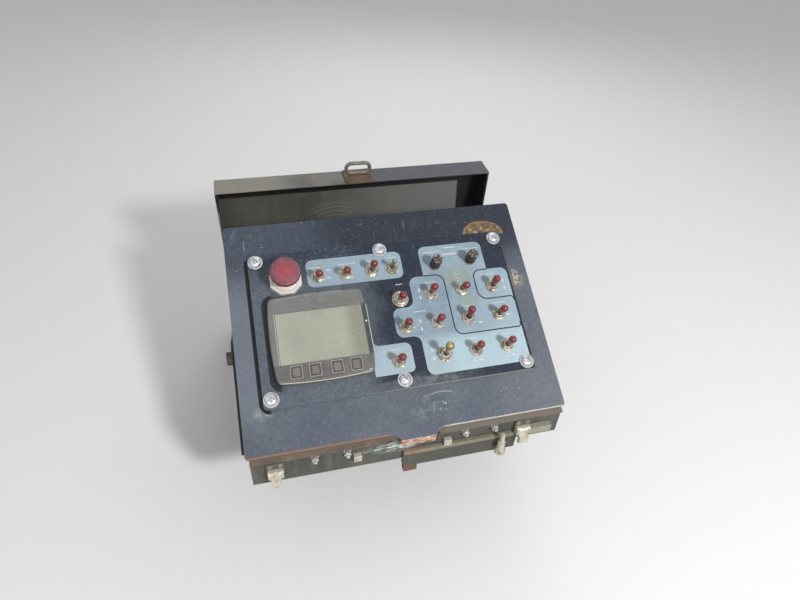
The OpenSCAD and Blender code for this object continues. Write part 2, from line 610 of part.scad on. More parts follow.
tub_front();
tub_chin();
tub_bottom();
tub_back();
tub_sides();
mount_plate();
mount_angle();
face_plate();
side_rails();
front_studs();
front_nuts();
wall_nuts();
latch_plates();
latch_rivets();
latch_bodies();
latch_catches();
end_bar();
hanger_bolt();
lock_lug();
control_panel();
legend_pads();
panel_washers();
panel_screws();
display_housing();
display_glass();
soft_keys();
display_lamp();
stop_ring();
stop_collar();
stop_head();
switch_bodies();
switch_washers();
switch_nuts();
switch_levers();
lever_caps();
brass_ball();
knob_bushings();
knobs();
cable_gland();
gland_nut();
pivot_spacers();
pivot_bolts();
pivot_nuts();
stop_pins();
cover_pan();
cover_arms();
arm_bolts();
lock_base();
lock_eye();
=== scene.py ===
# Looks of the screed control box: finishes for the sheet-metal case, and worked-out
# surfaces for the toggles, knobs, stop button, display and panel print.
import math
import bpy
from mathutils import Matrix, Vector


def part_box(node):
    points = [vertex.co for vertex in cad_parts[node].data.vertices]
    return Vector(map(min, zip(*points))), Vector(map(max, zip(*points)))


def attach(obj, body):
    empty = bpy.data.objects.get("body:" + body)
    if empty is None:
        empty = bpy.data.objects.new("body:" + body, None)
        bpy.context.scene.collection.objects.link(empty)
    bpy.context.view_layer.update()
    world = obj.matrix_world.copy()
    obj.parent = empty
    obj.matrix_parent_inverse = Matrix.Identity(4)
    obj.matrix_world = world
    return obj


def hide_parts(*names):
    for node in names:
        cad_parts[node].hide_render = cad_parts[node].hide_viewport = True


bl_info = {
    "name": "Screed Control Box",
    "version": (1, 0, 0),
    "blender": (4, 5, 0),
    "location": "3D View > Sidebar > Control Box",
    "description": "Dresses the packed model of a paver's screed control box",
    "category": "Object",
}

import bpy
import numpy as np
from bpy.props import FloatProperty, FloatVectorProperty, IntProperty, PointerProperty
from mathutils import Matrix, Vector

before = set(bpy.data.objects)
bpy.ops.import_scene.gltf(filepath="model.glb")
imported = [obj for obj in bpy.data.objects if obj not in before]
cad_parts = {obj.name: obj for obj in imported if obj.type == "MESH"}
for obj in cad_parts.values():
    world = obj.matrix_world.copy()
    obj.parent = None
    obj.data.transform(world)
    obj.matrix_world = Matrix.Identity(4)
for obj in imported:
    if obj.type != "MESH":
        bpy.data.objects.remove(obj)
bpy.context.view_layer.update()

# ---------------------------------------------------------------- sizes shared with the case
MM = 0.001
BEVEL_SAMPLES = 6
SLOPE = math.radians(28.0)
FACE_L = 276.0
NOSE_Z = 75.0
Y_FRONT = -FACE_L * math.cos(SLOPE) / 2
COS, SIN = math.cos(SLOPE), math.sin(SLOPE)
PANEL_TOP = 3.0
# print: thickness of the areas, width of the lines, thickness of the marks, how far all of
# them reach into what they lie on
PRINT_T, LINE_W, MARK_T, SINK = 0.4, 1.6, 0.06, 0.1
PANEL_X, PANEL_Y, PANEL_W, PANEL_L = 0.0, 141.7, 318.0, 186.0
SCREW_DX, SCREW_DY = PANEL_W / 2 - 9.1, PANEL_L / 2 - 10.3
COL0, COL_DX, ROW0, ROW_DY = 13.5, 39.45, 82.0, 39.1
BUSH_D, BODY_W, CAP_D, LEVER_H = 11.9, 12.97, 9.0, 26.0
BODY_Z0, BODY_Z1 = -21, -21 + (18 - 0.02)
DISP_X, DISP_Y, DISP_W, DISP_L, DISP_H, OUTLINE_N = -87.0, 123.6, 115.0, 106.0, 9.0, 288
STOP_X, STOP_Y, STOP_D, STOP_H = -117.8, 196.5, 35.0, 33.0
WASHER_T, NUT_H, PIVOT_H, BUSH_H, TALL_BUSH_H = 1.0, 2.6, 6.0, 6.5, 8.0
KNOBS = ((64.6, 195.1), (111.0, 197.0))
KNOB_D, KNOB_H = 13.5, 22.0
# padlock eye: middle, and the sine and cosine of its lean back of 2 degrees
EYE_AT, EYE_SIN, EYE_COS = (2, 224.5, 216.9), 0.0349, 0.9994
# a display key from its foot to its pad: inset and height above the housing
KEY_STEPS = ((0, -0.6), (0, 0.15), (0.35, 0.4), (0.9, 0.4), (1.3, 0.0), (2.6, 0.0), (3.2, 0.12))

# toggles: column, row, kind, lean in degrees, 1 where one stands on the print; each nut is turned
# a little further than the one before
CAPPED, BARE, BRASS, RINGED = range(4)
NUT_TURN = 17
TOGGLES = (
    (-2.349, 2.975, 0, 18, 1), (-1.523, 2.975, 0, 18, 1), (-0.688, 2.975, 0, 2, 1),
    (-0.068, 2.975, 1, 2, 1), (0, 1.918, 3, 11, 0), (0.995, 2.0, 0, 3.5, 1),
    (1.995, 2.0, 0, 13, 1), (3.0, 1.985, 0, -2, 1), (0, 0.992, 0, 1, 1),
    (0.995, 1.015, 0, 4, 1), (1.98, 1.03, 0, -12, 1), (2.985, 1.03, 0, 4, 1),
    (0.987, -0.025, 2, -5, 1), (1.985, 0, 0, 1, 1), (2.98, 0, 0, 0, 1), (-0.4, -0.025, 0, 4, 1),
)

# printed areas: corner x, y on the face in mm and the corner's radius
PRINT_MAIN = ((47.9, 222.5, 8), (130.3, 222.5, 8), (130.3, 183.1, 0.5), (155.9, 183.1, 8),
              (155.9, 59.5, 4), (28.7, 59.5, 9), (28.7, 108.5, 9), (1.3, 108.5, 9),
              (1.3, 145.5, 9), (28.7, 145.5, 9), (28.7, 183.1, 9), (47.9, 183.1, 0.5))
PRINT_TOP = ((-92.4, 220.4, 8), (24.2, 220.4, 8), (24.2, 184.8, 8), (-92.4, 184.8, 8))
PRINT_LOW = ((-32.0, 109.6, 0.5), (-23.9, 102.6, 6), (15.0, 102.6, 8), (15.0, 66.8, 6),
             (-32.4, 66.8, 0.5))
# open lines round groups of toggles: x, y and the radius of the bend
LINES = (((47.9, 183.1, 0), (72.4, 183.1, 10), (72.4, 103.2, 10), (155.3, 103.2, 8),
          (155.7, 109.4, 0)),
         ((130.3, 183.1, 0), (111.3, 183.1, 9), (111.3, 143.7, 12), (155.3, 143.7, 8),
          (155.7, 137.7, 0)))
# generic arrows: x, y of the middle, direction in degrees
ARROWS = ((38.6, 165.6, 90), (38.6, 156.0, 270), (32.2, 126.2, 90), (32.2, 116.2, 270),
          (147.5, 164.7, 90), (147.5, 156.0, 270), (38.6, 89.4, 90), (38.6, 78.4, 270),
          (87.0, 69.1, 180), (95.6, 69.1, 0), (127.4, 69.1, 180), (136.0, 69.1, 0))
# one arrow's outline, pointing right
ARROW = np.array([[-2.6, -0.7], [0.2, -0.7], [0.2, -1.5], [2.8, 0], [0.2, 1.5], [0.2, 0.7],
                  [-2.6, 0.7]])
# plain dashes: x, y of the middle, length
DASHES = ((-66.6, 195.4, 5), (-39.2, 191.7, 3), (23.1, 119.4, 2.4), (142.9, 132.0, 5),
          (142.9, 120.3, 5), (106.0, 114.9, 5), (-66.6, 205.0, 5))
# plain dashed rows for the small labels: x, y of the middle, length, height, on the print
ROWS = ((-82, 210, 15, 1.2, 1), (-43, 210.6, 21, 1.2, 1), (-13.6, 211, 9, 1.2, 1),
        (12.5, 213, 9, 1.2, 1), (89, 218.4, 14.1, 2.0, 1), (87.5, 209.2, 18.3, 2.0, 1),
        (64.5, 214.3, 20.4, 1.2, 1), (113.5, 214, 22.5, 1.2, 1), (52, 174.2, 20.4, 1.2, 1),
        (129.3, 176, 18.3, 1.2, 1), (133, 137.1, 16, 1.2, 1), (33.5, 138.5, 13.5, 1.2, 1),
        (90, 137.6, 12, 1.2, 1), (90, 96, 12, 1.2, 1), (129, 96, 14.1, 1.2, 1),
        (-4, 95.5, 12, 1.2, 1), (15.5, 176.2, 7.8, 1.2, 0))

# stage: half the floor's width in metres; lamps as name, direction from the point they aim at,
# distance, width, share of the key light's power; camera as found from the face's edges
FLOOR_HALF = 6.0
LAMPS_AIM = (0, 0, 0.1)
LAMPS = (("key", (0.38, -0.858, 0.676), 2.2, 0.26, 1.0), ("side", (-7, -12, 5), 1.8, 1.4, 0.14),
         ("back", (4, 12, 9), 1.8, 1.2, 0.16))
FOCAL_PX, IMAGE_PX, SENSOR_MM = 590.0, 800.0, 36.0
CAMERA = ((0.968889, 0.11986, -0.216534, -0.140246), (-0.242288, 0.637865, -0.731044, -0.503267),
          (0.050497, 0.760764, 0.647061, 0.609198), (0, 0, 0, 1))


def srgb(r, g, b):
    """Display colour 0-255 to the linear colour shaders take: the inverse of the sRGB curve."""
    out = []
    for v in (r, g, b):
        v = v / 255.0
        out.append(v / 12.92 if v <= 0.04045 else ((v + 0.055) / 1.055) ** 2.4)
    return (*out, 1.0)


# ---------------------------------------------------------------- surfaces
def on_face(p):
    """Points in face millimetres (across, up the slope, off the face) to world metres:
    turned by the slope about the face's front edge and moved to its height."""
    p = np.asarray(p, float)
    x, y, z = p[..., 0], p[..., 1], p[..., 2]
    return np.stack([x, Y_FRONT + y * COS - z * SIN, NOSE_Z + y * SIN + z * COS], -1) * MM


def mesh_piece(name, verts, faces, material, body="box", smooth=True):
    """A mesh object from an (n, 3) array of world points and a list of vertex loops."""
    mesh = bpy.data.meshes.new(name)
    mesh.from_pydata(np.asarray(verts, float).reshape(-1, 3).tolist(), [], [list(f) for f in faces])
    mesh.update()
    mesh.polygons.foreach_set("use_smooth", np.full(len(mesh.polygons), smooth))
    mesh.materials.append(material)
    ob = bpy.data.objects.new(name, mesh)
    bpy.context.scene.collection.objects.link(ob)
    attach(ob, body)
    return ob


def soften(ob, degrees=35.0):
    """Marks edges that turn more than the given angle as sharp, so flats stay flat."""
    ob.data.set_sharp_from_angle(angle=math.radians(degrees))
    return ob


def face_piece(name, unit, finish, node, sharp=None, smooth=True, replaces=True):
    """A piece given in face millimetres that stands for a CAD node, or lies on one."""
    ob = mesh_piece(name, on_face(unit[0]), unit[1], finish.mat, "box", smooth)
    if sharp:
        soften(ob, sharp)
    if replaces:
        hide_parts(node)


def ring_faces(rows, n, first_pole=False, last_pole=False):
    """Vertex loops of a tube of `rows` rings with n points each; a pole is a single point."""
    faces, start = [], []
    k = 0
    for i in range(rows):
        start.append(k)
        k += 1 if i == 0 and first_pole or (i == rows - 1 and last_pole) else n
    j = np.arange(n)
    for i in range(rows - 1):
        a, b = start[i], start[i + 1]
        if i == 0 and first_pole:
            faces += np.stack([np.full(n, a), b + j, b + (j + 1) % n], 1).tolist()
        elif i == rows - 2 and last_pole:
            faces += np.stack([a + j, np.full(n, b), a + (j + 1) % n], 1).tolist()
        else:
            faces += np.stack([a + j, b + j, b + (j + 1) % n, a + (j + 1) % n], 1).tolist()
    return faces


def turned(profile, n=48, radius=None):
    """Turned part: each (radius, height) of the profile becomes a ring about the z axis; a
    radius of 0 at an end closes it with one pole. `radius`, a function of (ring radius, height,
    angle), may pull rings in, which gives flats and flutes. Listed from the bottom outwards and
    up, the faces point out."""
    profile = np.asarray(profile, float)
    a = np.linspace(0, 2 * np.pi, n, endpoint=False)
    first, last = profile[0, 0] == 0, profile[-1, 0] == 0
    rows = []
    for i, (r, z) in enumerate(profile):
        if (i == 0 and first) or (i == len(profile) - 1 and last):
            rows.append(np.array([[0.0, 0.0, z]]))
            continue
        rr, zz = (np.full(n, r), np.full(n, z)) if radius is None else radius(r, z, a)
        rows.append(np.stack([rr * np.cos(a), rr * np.sin(a), zz], 1))
    faces = [f[::-1] for f in ring_faces(len(profile), n, first, last)]
    return np.concatenate(rows), faces


def repeat(unit, places):
    """Copies of one unit (verts, faces) at each place, a 3 x 4 matrix in face millimetres."""
    v, f = unit
    v = np.asarray(v, float)
    out = np.concatenate([v @ m[:, :3].T + m[:, 3] for m in places])
    faces = [[k + i * len(v) for k in loop] for i in range(len(places)) for loop in f]
    return out, faces


def joined(*units):
    """Several (verts, faces) in one list, with the vertex numbers moved on."""
    verts, faces, k = [], [], 0
    for v, f in units:
        verts.append(np.asarray(v, float))
        faces += [[i + k for i in loop] for loop in f]
        k += len(v)
    return np.concatenate(verts), faces


def place(x, y, z=0.0, turn=0.0, lean=0.0):
    """3 x 4 matrix: turn about z, then lean about x, then move."""
    ct, st = math.cos(math.radians(turn)), math.sin(math.radians(turn))
    cl, sl = math.cos(math.radians(lean)), math.sin(math.radians(lean))
    rz = np.array([[ct, -st, 0], [st, ct, 0], [0, 0, 1.0]])
    rx = np.array([[1.0, 0, 0], [0, cl, -sl], [0, sl, cl]])
    return np.concatenate([rx @ rz, [[x], [y], [z]]], 1)


def rounded_path(corners, step=12.0, closed=True):
    """Outline through corner points with a fillet of the given radius at each: the two tangent
    points lie radius * tan(turn / 2) from the corner, joined by an arc about the fillet's
    centre in steps of at most `step` degrees."""
    pts = [np.array(c[:2], float) for c in corners]
    n, out = len(pts), []
    for i, c in enumerate(corners):
        p, r = pts[i], c[2]
        if r <= 0 or (not closed and i in (0, n - 1)):
            out.append(p)
            continue
        u = pts[i - 1] - p
        v = pts[(i + 1) % n] - p
        lu, lv = np.linalg.norm(u), np.linalg.norm(v)
        u, v = u / lu, v / lv
        turn = math.pi - math.acos(max(-1.0, min(1.0, float(u @ v))))
        t = min(r * math.tan(turn / 2), lu * 0.48, lv * 0.48)
        r = t / math.tan(turn / 2)
        w = u + v
        centre = p + w / np.linalg.norm(w) * math.hypot(r, t)
        a, b = p + u * t - centre, p + v * t - centre
        a0 = math.atan2(a[1], a[0])
        d = (math.atan2(b[1], b[0]) - a0 + math.pi) % (2 * math.pi) - math.pi
        m = max(2, int(math.ceil(abs(math.degrees(d)) / step)) + 1)
        ang = a0 + np.linspace(0, d, m)
        out += list(centre + r * np.stack([np.cos(ang), np.sin(ang)], 1))
    return np.array(out)


def rect(x0, y0, x1, y1, radius=None):
    """Corner points of a rectangle, each with its corner radius when one is given."""
    corners = np.array([[x0, y0], [x1, y0], [x1, y1], [x0, y1]])
    return corners if radius is None else np.c_[corners, np.full(4, radius)]


def plate(outline, z0, z1):
    """Flat plate: the closed outline at two heights, joined by side walls and two caps."""
    o = np.asarray(outline, float)
    x, y = o[:, 0], o[:, 1]
    if np.sum(x * np.roll(y, -1) - np.roll(x, -1) * y) < 0:
        o = o[::-1]
    n = len(o)
    v = np.concatenate([np.c_[o, np.full(n, z0)], np.c_[o, np.full(n, z1)]])
    j = np.arange(n)
    faces = np.stack([j, (j + 1) % n, n + (j + 1) % n, n + j], 1).tolist()
    return v, faces + [list(range(n, 2 * n)), list(range(n - 1, -1, -1))]


def ribbon(path, width, z0, z1):
    """Flat band along an open path: the path moved both ways along its normal by half the width."""
    p = np.asarray(path, float)
    t = np.gradient(p, axis=0)
    t /= np.linalg.norm(t, axis=1)[:, None]
    m = np.stack([-t[:, 1], t[:, 0]], 1) * width / 2
    return plate(np.concatenate([p - m, (p + m)[::-1]]), z0, z1)


def lofted(outlines):
    """Skin over equal-length closed outlines given as (n, 3) rings, capped at both ends."""
    n = len(outlines[0])
    v = np.concatenate(outlines)
    faces = [f[::-1] for f in ring_faces(len(outlines), n)]
    return v, faces + [list(range(n)), list(range(len(v) - 1, len(v) - n - 1, -1))]


# ---------------------------------------------------------------- shaders
class Value:
    """A number worked out in a shader: it adds, multiplies and ramps like a plain number."""
    def __init__(self, shader, socket):
        self.shader, self.socket = shader, socket

    def __add__(self, other):
        return self.shader.math("ADD", self, other)

    def __sub__(self, other):
        return self.shader.math("SUBTRACT", self, other)

    def __rsub__(self, other):
        return self.shader.math("SUBTRACT", other, self)

    def __mul__(self, other):
        return self.shader.math("MULTIPLY", self, other)

    def __abs__(self):
        return self.shader.math("ABSOLUTE", self)

    __radd__, __rmul__ = __add__, __mul__

    def ramp(self, low, high):
        """0 below low, 1 above high; low may be the larger, which turns it round."""
        inputs = {"Value": self, "From Min": low, "From Max": high}
        return self.shader.node("MapRange", "Result", inputs, interpolation_type="SMOOTHSTEP")


class Shader:
    """A node tree under construction."""
    def __init__(self, tree):
        self.tree = tree

    def put(self, socket, value):
        """Links a value, or sets a constant; three numbers are a display colour 0-255."""
        if isinstance(value, Value):
            self.tree.links.new(value.socket, socket)
        else:
            colour = socket.type == "RGBA" and len(value) == 3
            socket.default_value = srgb(*value) if colour else value

    def node(self, kind, out, inputs, **settings):
        """A node with its settings and inputs; gives back the named output."""
        node = self.tree.nodes.new("ShaderNode" + kind)
        for key, value in settings.items():
            setattr(node, key, value)
        for key, value in inputs.items():
            self.put(node.inputs[key], value)
        return Value(self, node.outputs[out])

    def math(self, op, a, b=0.0, clamp=False):
        return self.node("Math", 0, {0: a, 1: b}, operation=op, use_clamp=clamp)

    def most(self, a, b):
        return self.math("MAXIMUM", a, b)

    def ray(self, kind):
        """1 for the named kind of ray, 0 for the others."""
        return self.node("LightPath", "Is %s Ray" % kind, {})


class Finish(Shader):
    """A node material under construction: one Principled shader, a colour that layers are laid
    on, and short helpers that read Object coordinates."""
    def __init__(self, name, rough=0.5, metal=0.0, spec=0.35, coat=0.0, coat_rough=0.2):
        self.mat = bpy.data.materials.new(name)
        self.mat.use_nodes = True
        super().__init__(self.mat.node_tree)
        self.bsdf = self.tree.nodes["Principled BSDF"].inputs
        for key, value in (("Roughness", rough), ("Metallic", metal), ("Specular IOR Level", spec),
                           ("Coat Weight", coat), ("Coat Roughness", coat_rough)):
            self.bsdf[key].default_value = value
        self.coord = self.node("TexCoord", "Object", {})
        self.base = None

    def mapped(self, scale=(1, 1, 1), turn=(0, 0, 0), move=(0, 0, 0), coord=None):
        """Object coordinates scaled, turned (radians), then moved."""
        return self.node("Mapping", "Vector", {"Vector": coord or self.coord, "Scale": scale,
                                               "Rotation": turn, "Location": move})

    def world_mm(self):
        """World millimetres of the point."""
        return self.mapped((1000, 1000, 1000))

    def face_mm(self):
        """Face millimetres of the point: the inverse of on_face, as a Mapping node."""
        move = (0, -(Y_FRONT * COS + NOSE_Z * SIN), Y_FRONT * SIN - NOSE_Z * COS)
        return self.mapped((1000, 1000, 1000), (-SLOPE, 0, 0), move)

    def split(self, vector):
        """The three numbers of a vector."""
        first = self.node("SeparateXYZ", 0, {0: vector})
        return [Value(self, socket) for socket in first.socket.node.outputs]

    def vector(self, operation, a, b=(0, 0, 0), out="Vector"):
        return self.node("VectorMath", out, {0: a, 1: b}, operation=operation)

    def length(self, vector):
        return self.vector("LENGTH", vector, out="Value")

    def noise(self, scale, detail=4.0, rough=0.55, coord=None):
        return self.node("TexNoise", "Fac", {"Vector": coord or self.coord, "Scale": scale,
                                             "Detail": detail, "Roughness": rough})

    def mix(self, weight, a, b):
        return self.node("Mix", "Result", {"Factor": weight, "A": a, "B": b}, data_type="RGBA")

    def tones(self, weight, first, second):
        """The finish's first colour: one tone where the weight is 0, the other where it is 1."""
        self.base = self.mix(weight, first, second)

    def lay(self, weight, *colour):
        """Lays a colour over what is there: three display numbers, or one worked-out colour."""
        self.base = self.mix(weight, self.base, colour if len(colour) == 3 else colour[0])

    def blob(self, vector, centre, half, soft=0.35):
        """1 inside an ellipse about a centre with the given half sizes, 0 outside, soft between."""
        move = [-c / h for c, h in zip(centre, half)]
        spot = self.mapped([1.0 / h for h in half], (0, 0, 0), move, vector)
        return self.length(spot).ramp(1.0 + soft, 1.0 - soft)

    def outside(self, vector, centre, half, corner):
        """Distance in mm from a rounded rectangle, in the plane of the vector's x and y: the length
        of what lies beyond the inner rectangle on each axis, less the corner's radius."""
        far = self.mapped((1, 1, 0), (0, 0, 0), (-centre[0], -centre[1], 0), vector)
        over = self.vector("SUBTRACT", self.vector("ABSOLUTE", far),
                           (half[0] - corner, half[1] - corner, 0))
        return self.length(self.vector("MAXIMUM", over)) - corner

    def bevel(self, radius):
        """The surface's direction with its edges rounded; the radius in mm."""
        return self.node("Bevel", "Normal", {"Radius": radius * MM}, samples=BEVEL_SAMPLES)

    def edge(self, radius=0.9, low=0.90, high=0.995):
        """1 along the solid's edges: how far a rounded normal turns from the true one."""
        true = self.node("NewGeometry", "Normal", {})
        return self.vector("DOT_PRODUCT", self.bevel(radius), true, "Value").ramp(high, low)

    def bump(self, height, strength=0.3, distance=0.3, round_edge=0.0):
        """Fine relief over edges that are rounded for the light alone; distances in mm."""
        inputs = {"Strength": strength, "Distance": distance * MM, "Height": height}
        if round_edge:
            inputs["Normal"] = self.bevel(round_edge)
        self.put(self.bsdf["Normal"], self.node("Bump", "Normal", inputs))

    def scratches(self, angle, density=0.72, scale=1.0, length=26.0):
        """Thin lines: noise squeezed across and stretched along one direction, cut high."""
        v = self.mapped((620 * scale, 620 * scale / length, 620 * scale / length), (0, 0, angle))
        return self.noise(1.0, 3.0, 0.6, v).ramp(density, density + 0.04)

    def colour(self, value=None):
        self.put(self.bsdf["Base Color"], value or self.base)

    def done(self, rough, relief, *amounts):
        """Takes up the laid colours, the roughness and the fine relief with its amounts."""
        self.colour()
        self.rough(rough)
        self.bump(relief, *amounts)

    def rough(self, value):
        self.put(self.bsdf["Roughness"], value)

    def metal(self, value):
        self.put(self.bsdf["Metallic"], value)


def weathered_paint(name, main, second, dust, speck=0.5, rust=0.0, rough=0.45, edge_colour=None,
                    edge_amount=0.6, round_edge=0.5):
    """Old machine paint: two tones of the paint in clouds, dust, fine pale specks and scratches,
    worn lighter or rusty along the edges, with a slight orange peel."""
    f = Finish(name, rough)
    clouds = f.noise(9, 5, 0.6)
    f.tones(clouds.ramp(0.3, 0.7), main, second)
    fine = f.noise(240, 4, 0.65)
    f.lay(fine.ramp(0.45, 0.8) * 0.35, dust)
    specks = f.noise(900, 2, 0.5).ramp(0.7, 0.76)
    where = f.noise(28, 3, 0.6).ramp(0.4, 0.62)
    f.lay(specks * where * speck, 196, 200, 206)
    lines = f.most(f.scratches(0.5), f.scratches(-0.75, 0.73, 0.8))
    f.lay(lines * (0.3 * speck), 170, 175, 182)
    if rust:
        patch = f.noise(34, 6, 0.7).ramp(0.6, 0.74) * rust
        f.lay(patch, f.mix(fine, (92, 58, 40), (150, 98, 62)))
    if edge_colour:
        worn = f.edge(0.8) * f.noise(130, 4, 0.7).ramp(0.35, 0.6) * edge_amount
        f.lay(worn, edge_colour)
    f.done(fine * 0.25 + (rough - 0.1), f.noise(420, 2) + lines * -0.4, 0.22, 0.12, round_edge)
    return f


def zinc(name, main, grime, shine=0.34, dust=0.35, round_edge=0.25, metal=0.9):
    """Plated steel gone dull: metal with grime in clouds, fine pits and a dusty bloom."""
    f = Finish(name, shine, metal)
    clouds = f.noise(150, 5, 0.65)
    dirt = clouds.ramp(0.42, 0.7) * dust
    f.colour(f.mix(dirt, main, grime))
    f.metal(f.math("SUBTRACT", metal, dirt * 0.8, True))
    f.rough(shine + dirt * 0.35)
    f.bump(f.noise(1400, 3, 0.6), 0.18, 0.06, round_edge)
    return f


def plastic(name, main, worn, rough=0.4, coat=0.0, amount=0.3, scale=300.0, round_edge=0.3):
    """Moulded plastic with a fine skin texture and a bloom of dust."""
    f = Finish(name, rough, 0, 0.5, coat, 0.15)
    bloom = f.noise(scale * 0.3, 5, 0.6).ramp(0.4, 0.72) * amount
    f.colour(f.mix(bloom, main, worn))
    f.rough(rough + bloom * 0.4)
    f.bump(f.noise(scale * 5, 2), 0.12, 0.05, round_edge)
    return f


def dress(finish, *nodes):
    """Gives the objects of CAD nodes one material."""
    for name in nodes:
        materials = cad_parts[name].data.materials
        materials.clear()
        materials.append(finish.mat)


# ---------------------------------------------------------------- what a user may change
def paint_property(name, description, *colour):
    """A colour that a user may change; its default is given in display numbers."""
    return FloatVectorProperty(name=name, description=description, subtype="COLOR", size=4, min=0,
                               max=1, default=srgb(*colour))


class ScreedBoxPaint(bpy.types.PropertyGroup):
    """Colours of the case, the cover and the panel."""
    face: paint_property("Face", "Dark slate paint of the sloped face", 106, 112, 122)
    face_dark: paint_property("Face, second tone", "Darker clouds of the face paint", 86, 93, 105)
    wall: paint_property("Wall", "Grey-green paint of the case's walls", 92, 92, 86)
    panel: paint_property("Panel", "Navy-black overlay of the control panel", 32, 41, 57)
    prints: paint_property("Print", "Light blue-grey of the printed areas", 162, 184, 196)
    cover: paint_property("Cover", "Dusty olive-grey inside of the guard cover", 90, 90, 83)
    rust: paint_property("Rust", "Scraped, rusty steel", 146, 96, 66)


class ScreedBoxToggle(bpy.types.PropertyGroup):
    """Sizes and colours of the toggles."""
    nut: FloatProperty(name="Nut", description="Width of the hexagon nut across its flats",
                       default=0.0143, min=0.013, max=0.016, unit="LENGTH")
    pitch: FloatProperty(name="Thread pitch", description="Distance between the bushing's threads",
                         default=0.0008, min=0.0005, max=0.0015, unit="LENGTH")
    cap: paint_property("Cap", "Dark red vinyl of the lever caps", 126, 28, 29)
    facets: IntProperty(name="Facets", description="Points round each turned part",
                        default=36, min=16, max=96)


class ScreedBoxStage(bpy.types.PropertyGroup):
    """Floor and light."""
    floor: FloatProperty(name="Floor", description="Height of the floor", default=-0.101,
                         min=-0.5, max=-0.1, unit="LENGTH")
    key: FloatProperty(name="Key light", description="Power of the main soft light in watts",
                       default=31.0, min=1.0, max=100.0)
    fill: FloatProperty(name="Room light", description="Strength of the even light all round",
                        default=0.34, min=0.0, max=2.0)


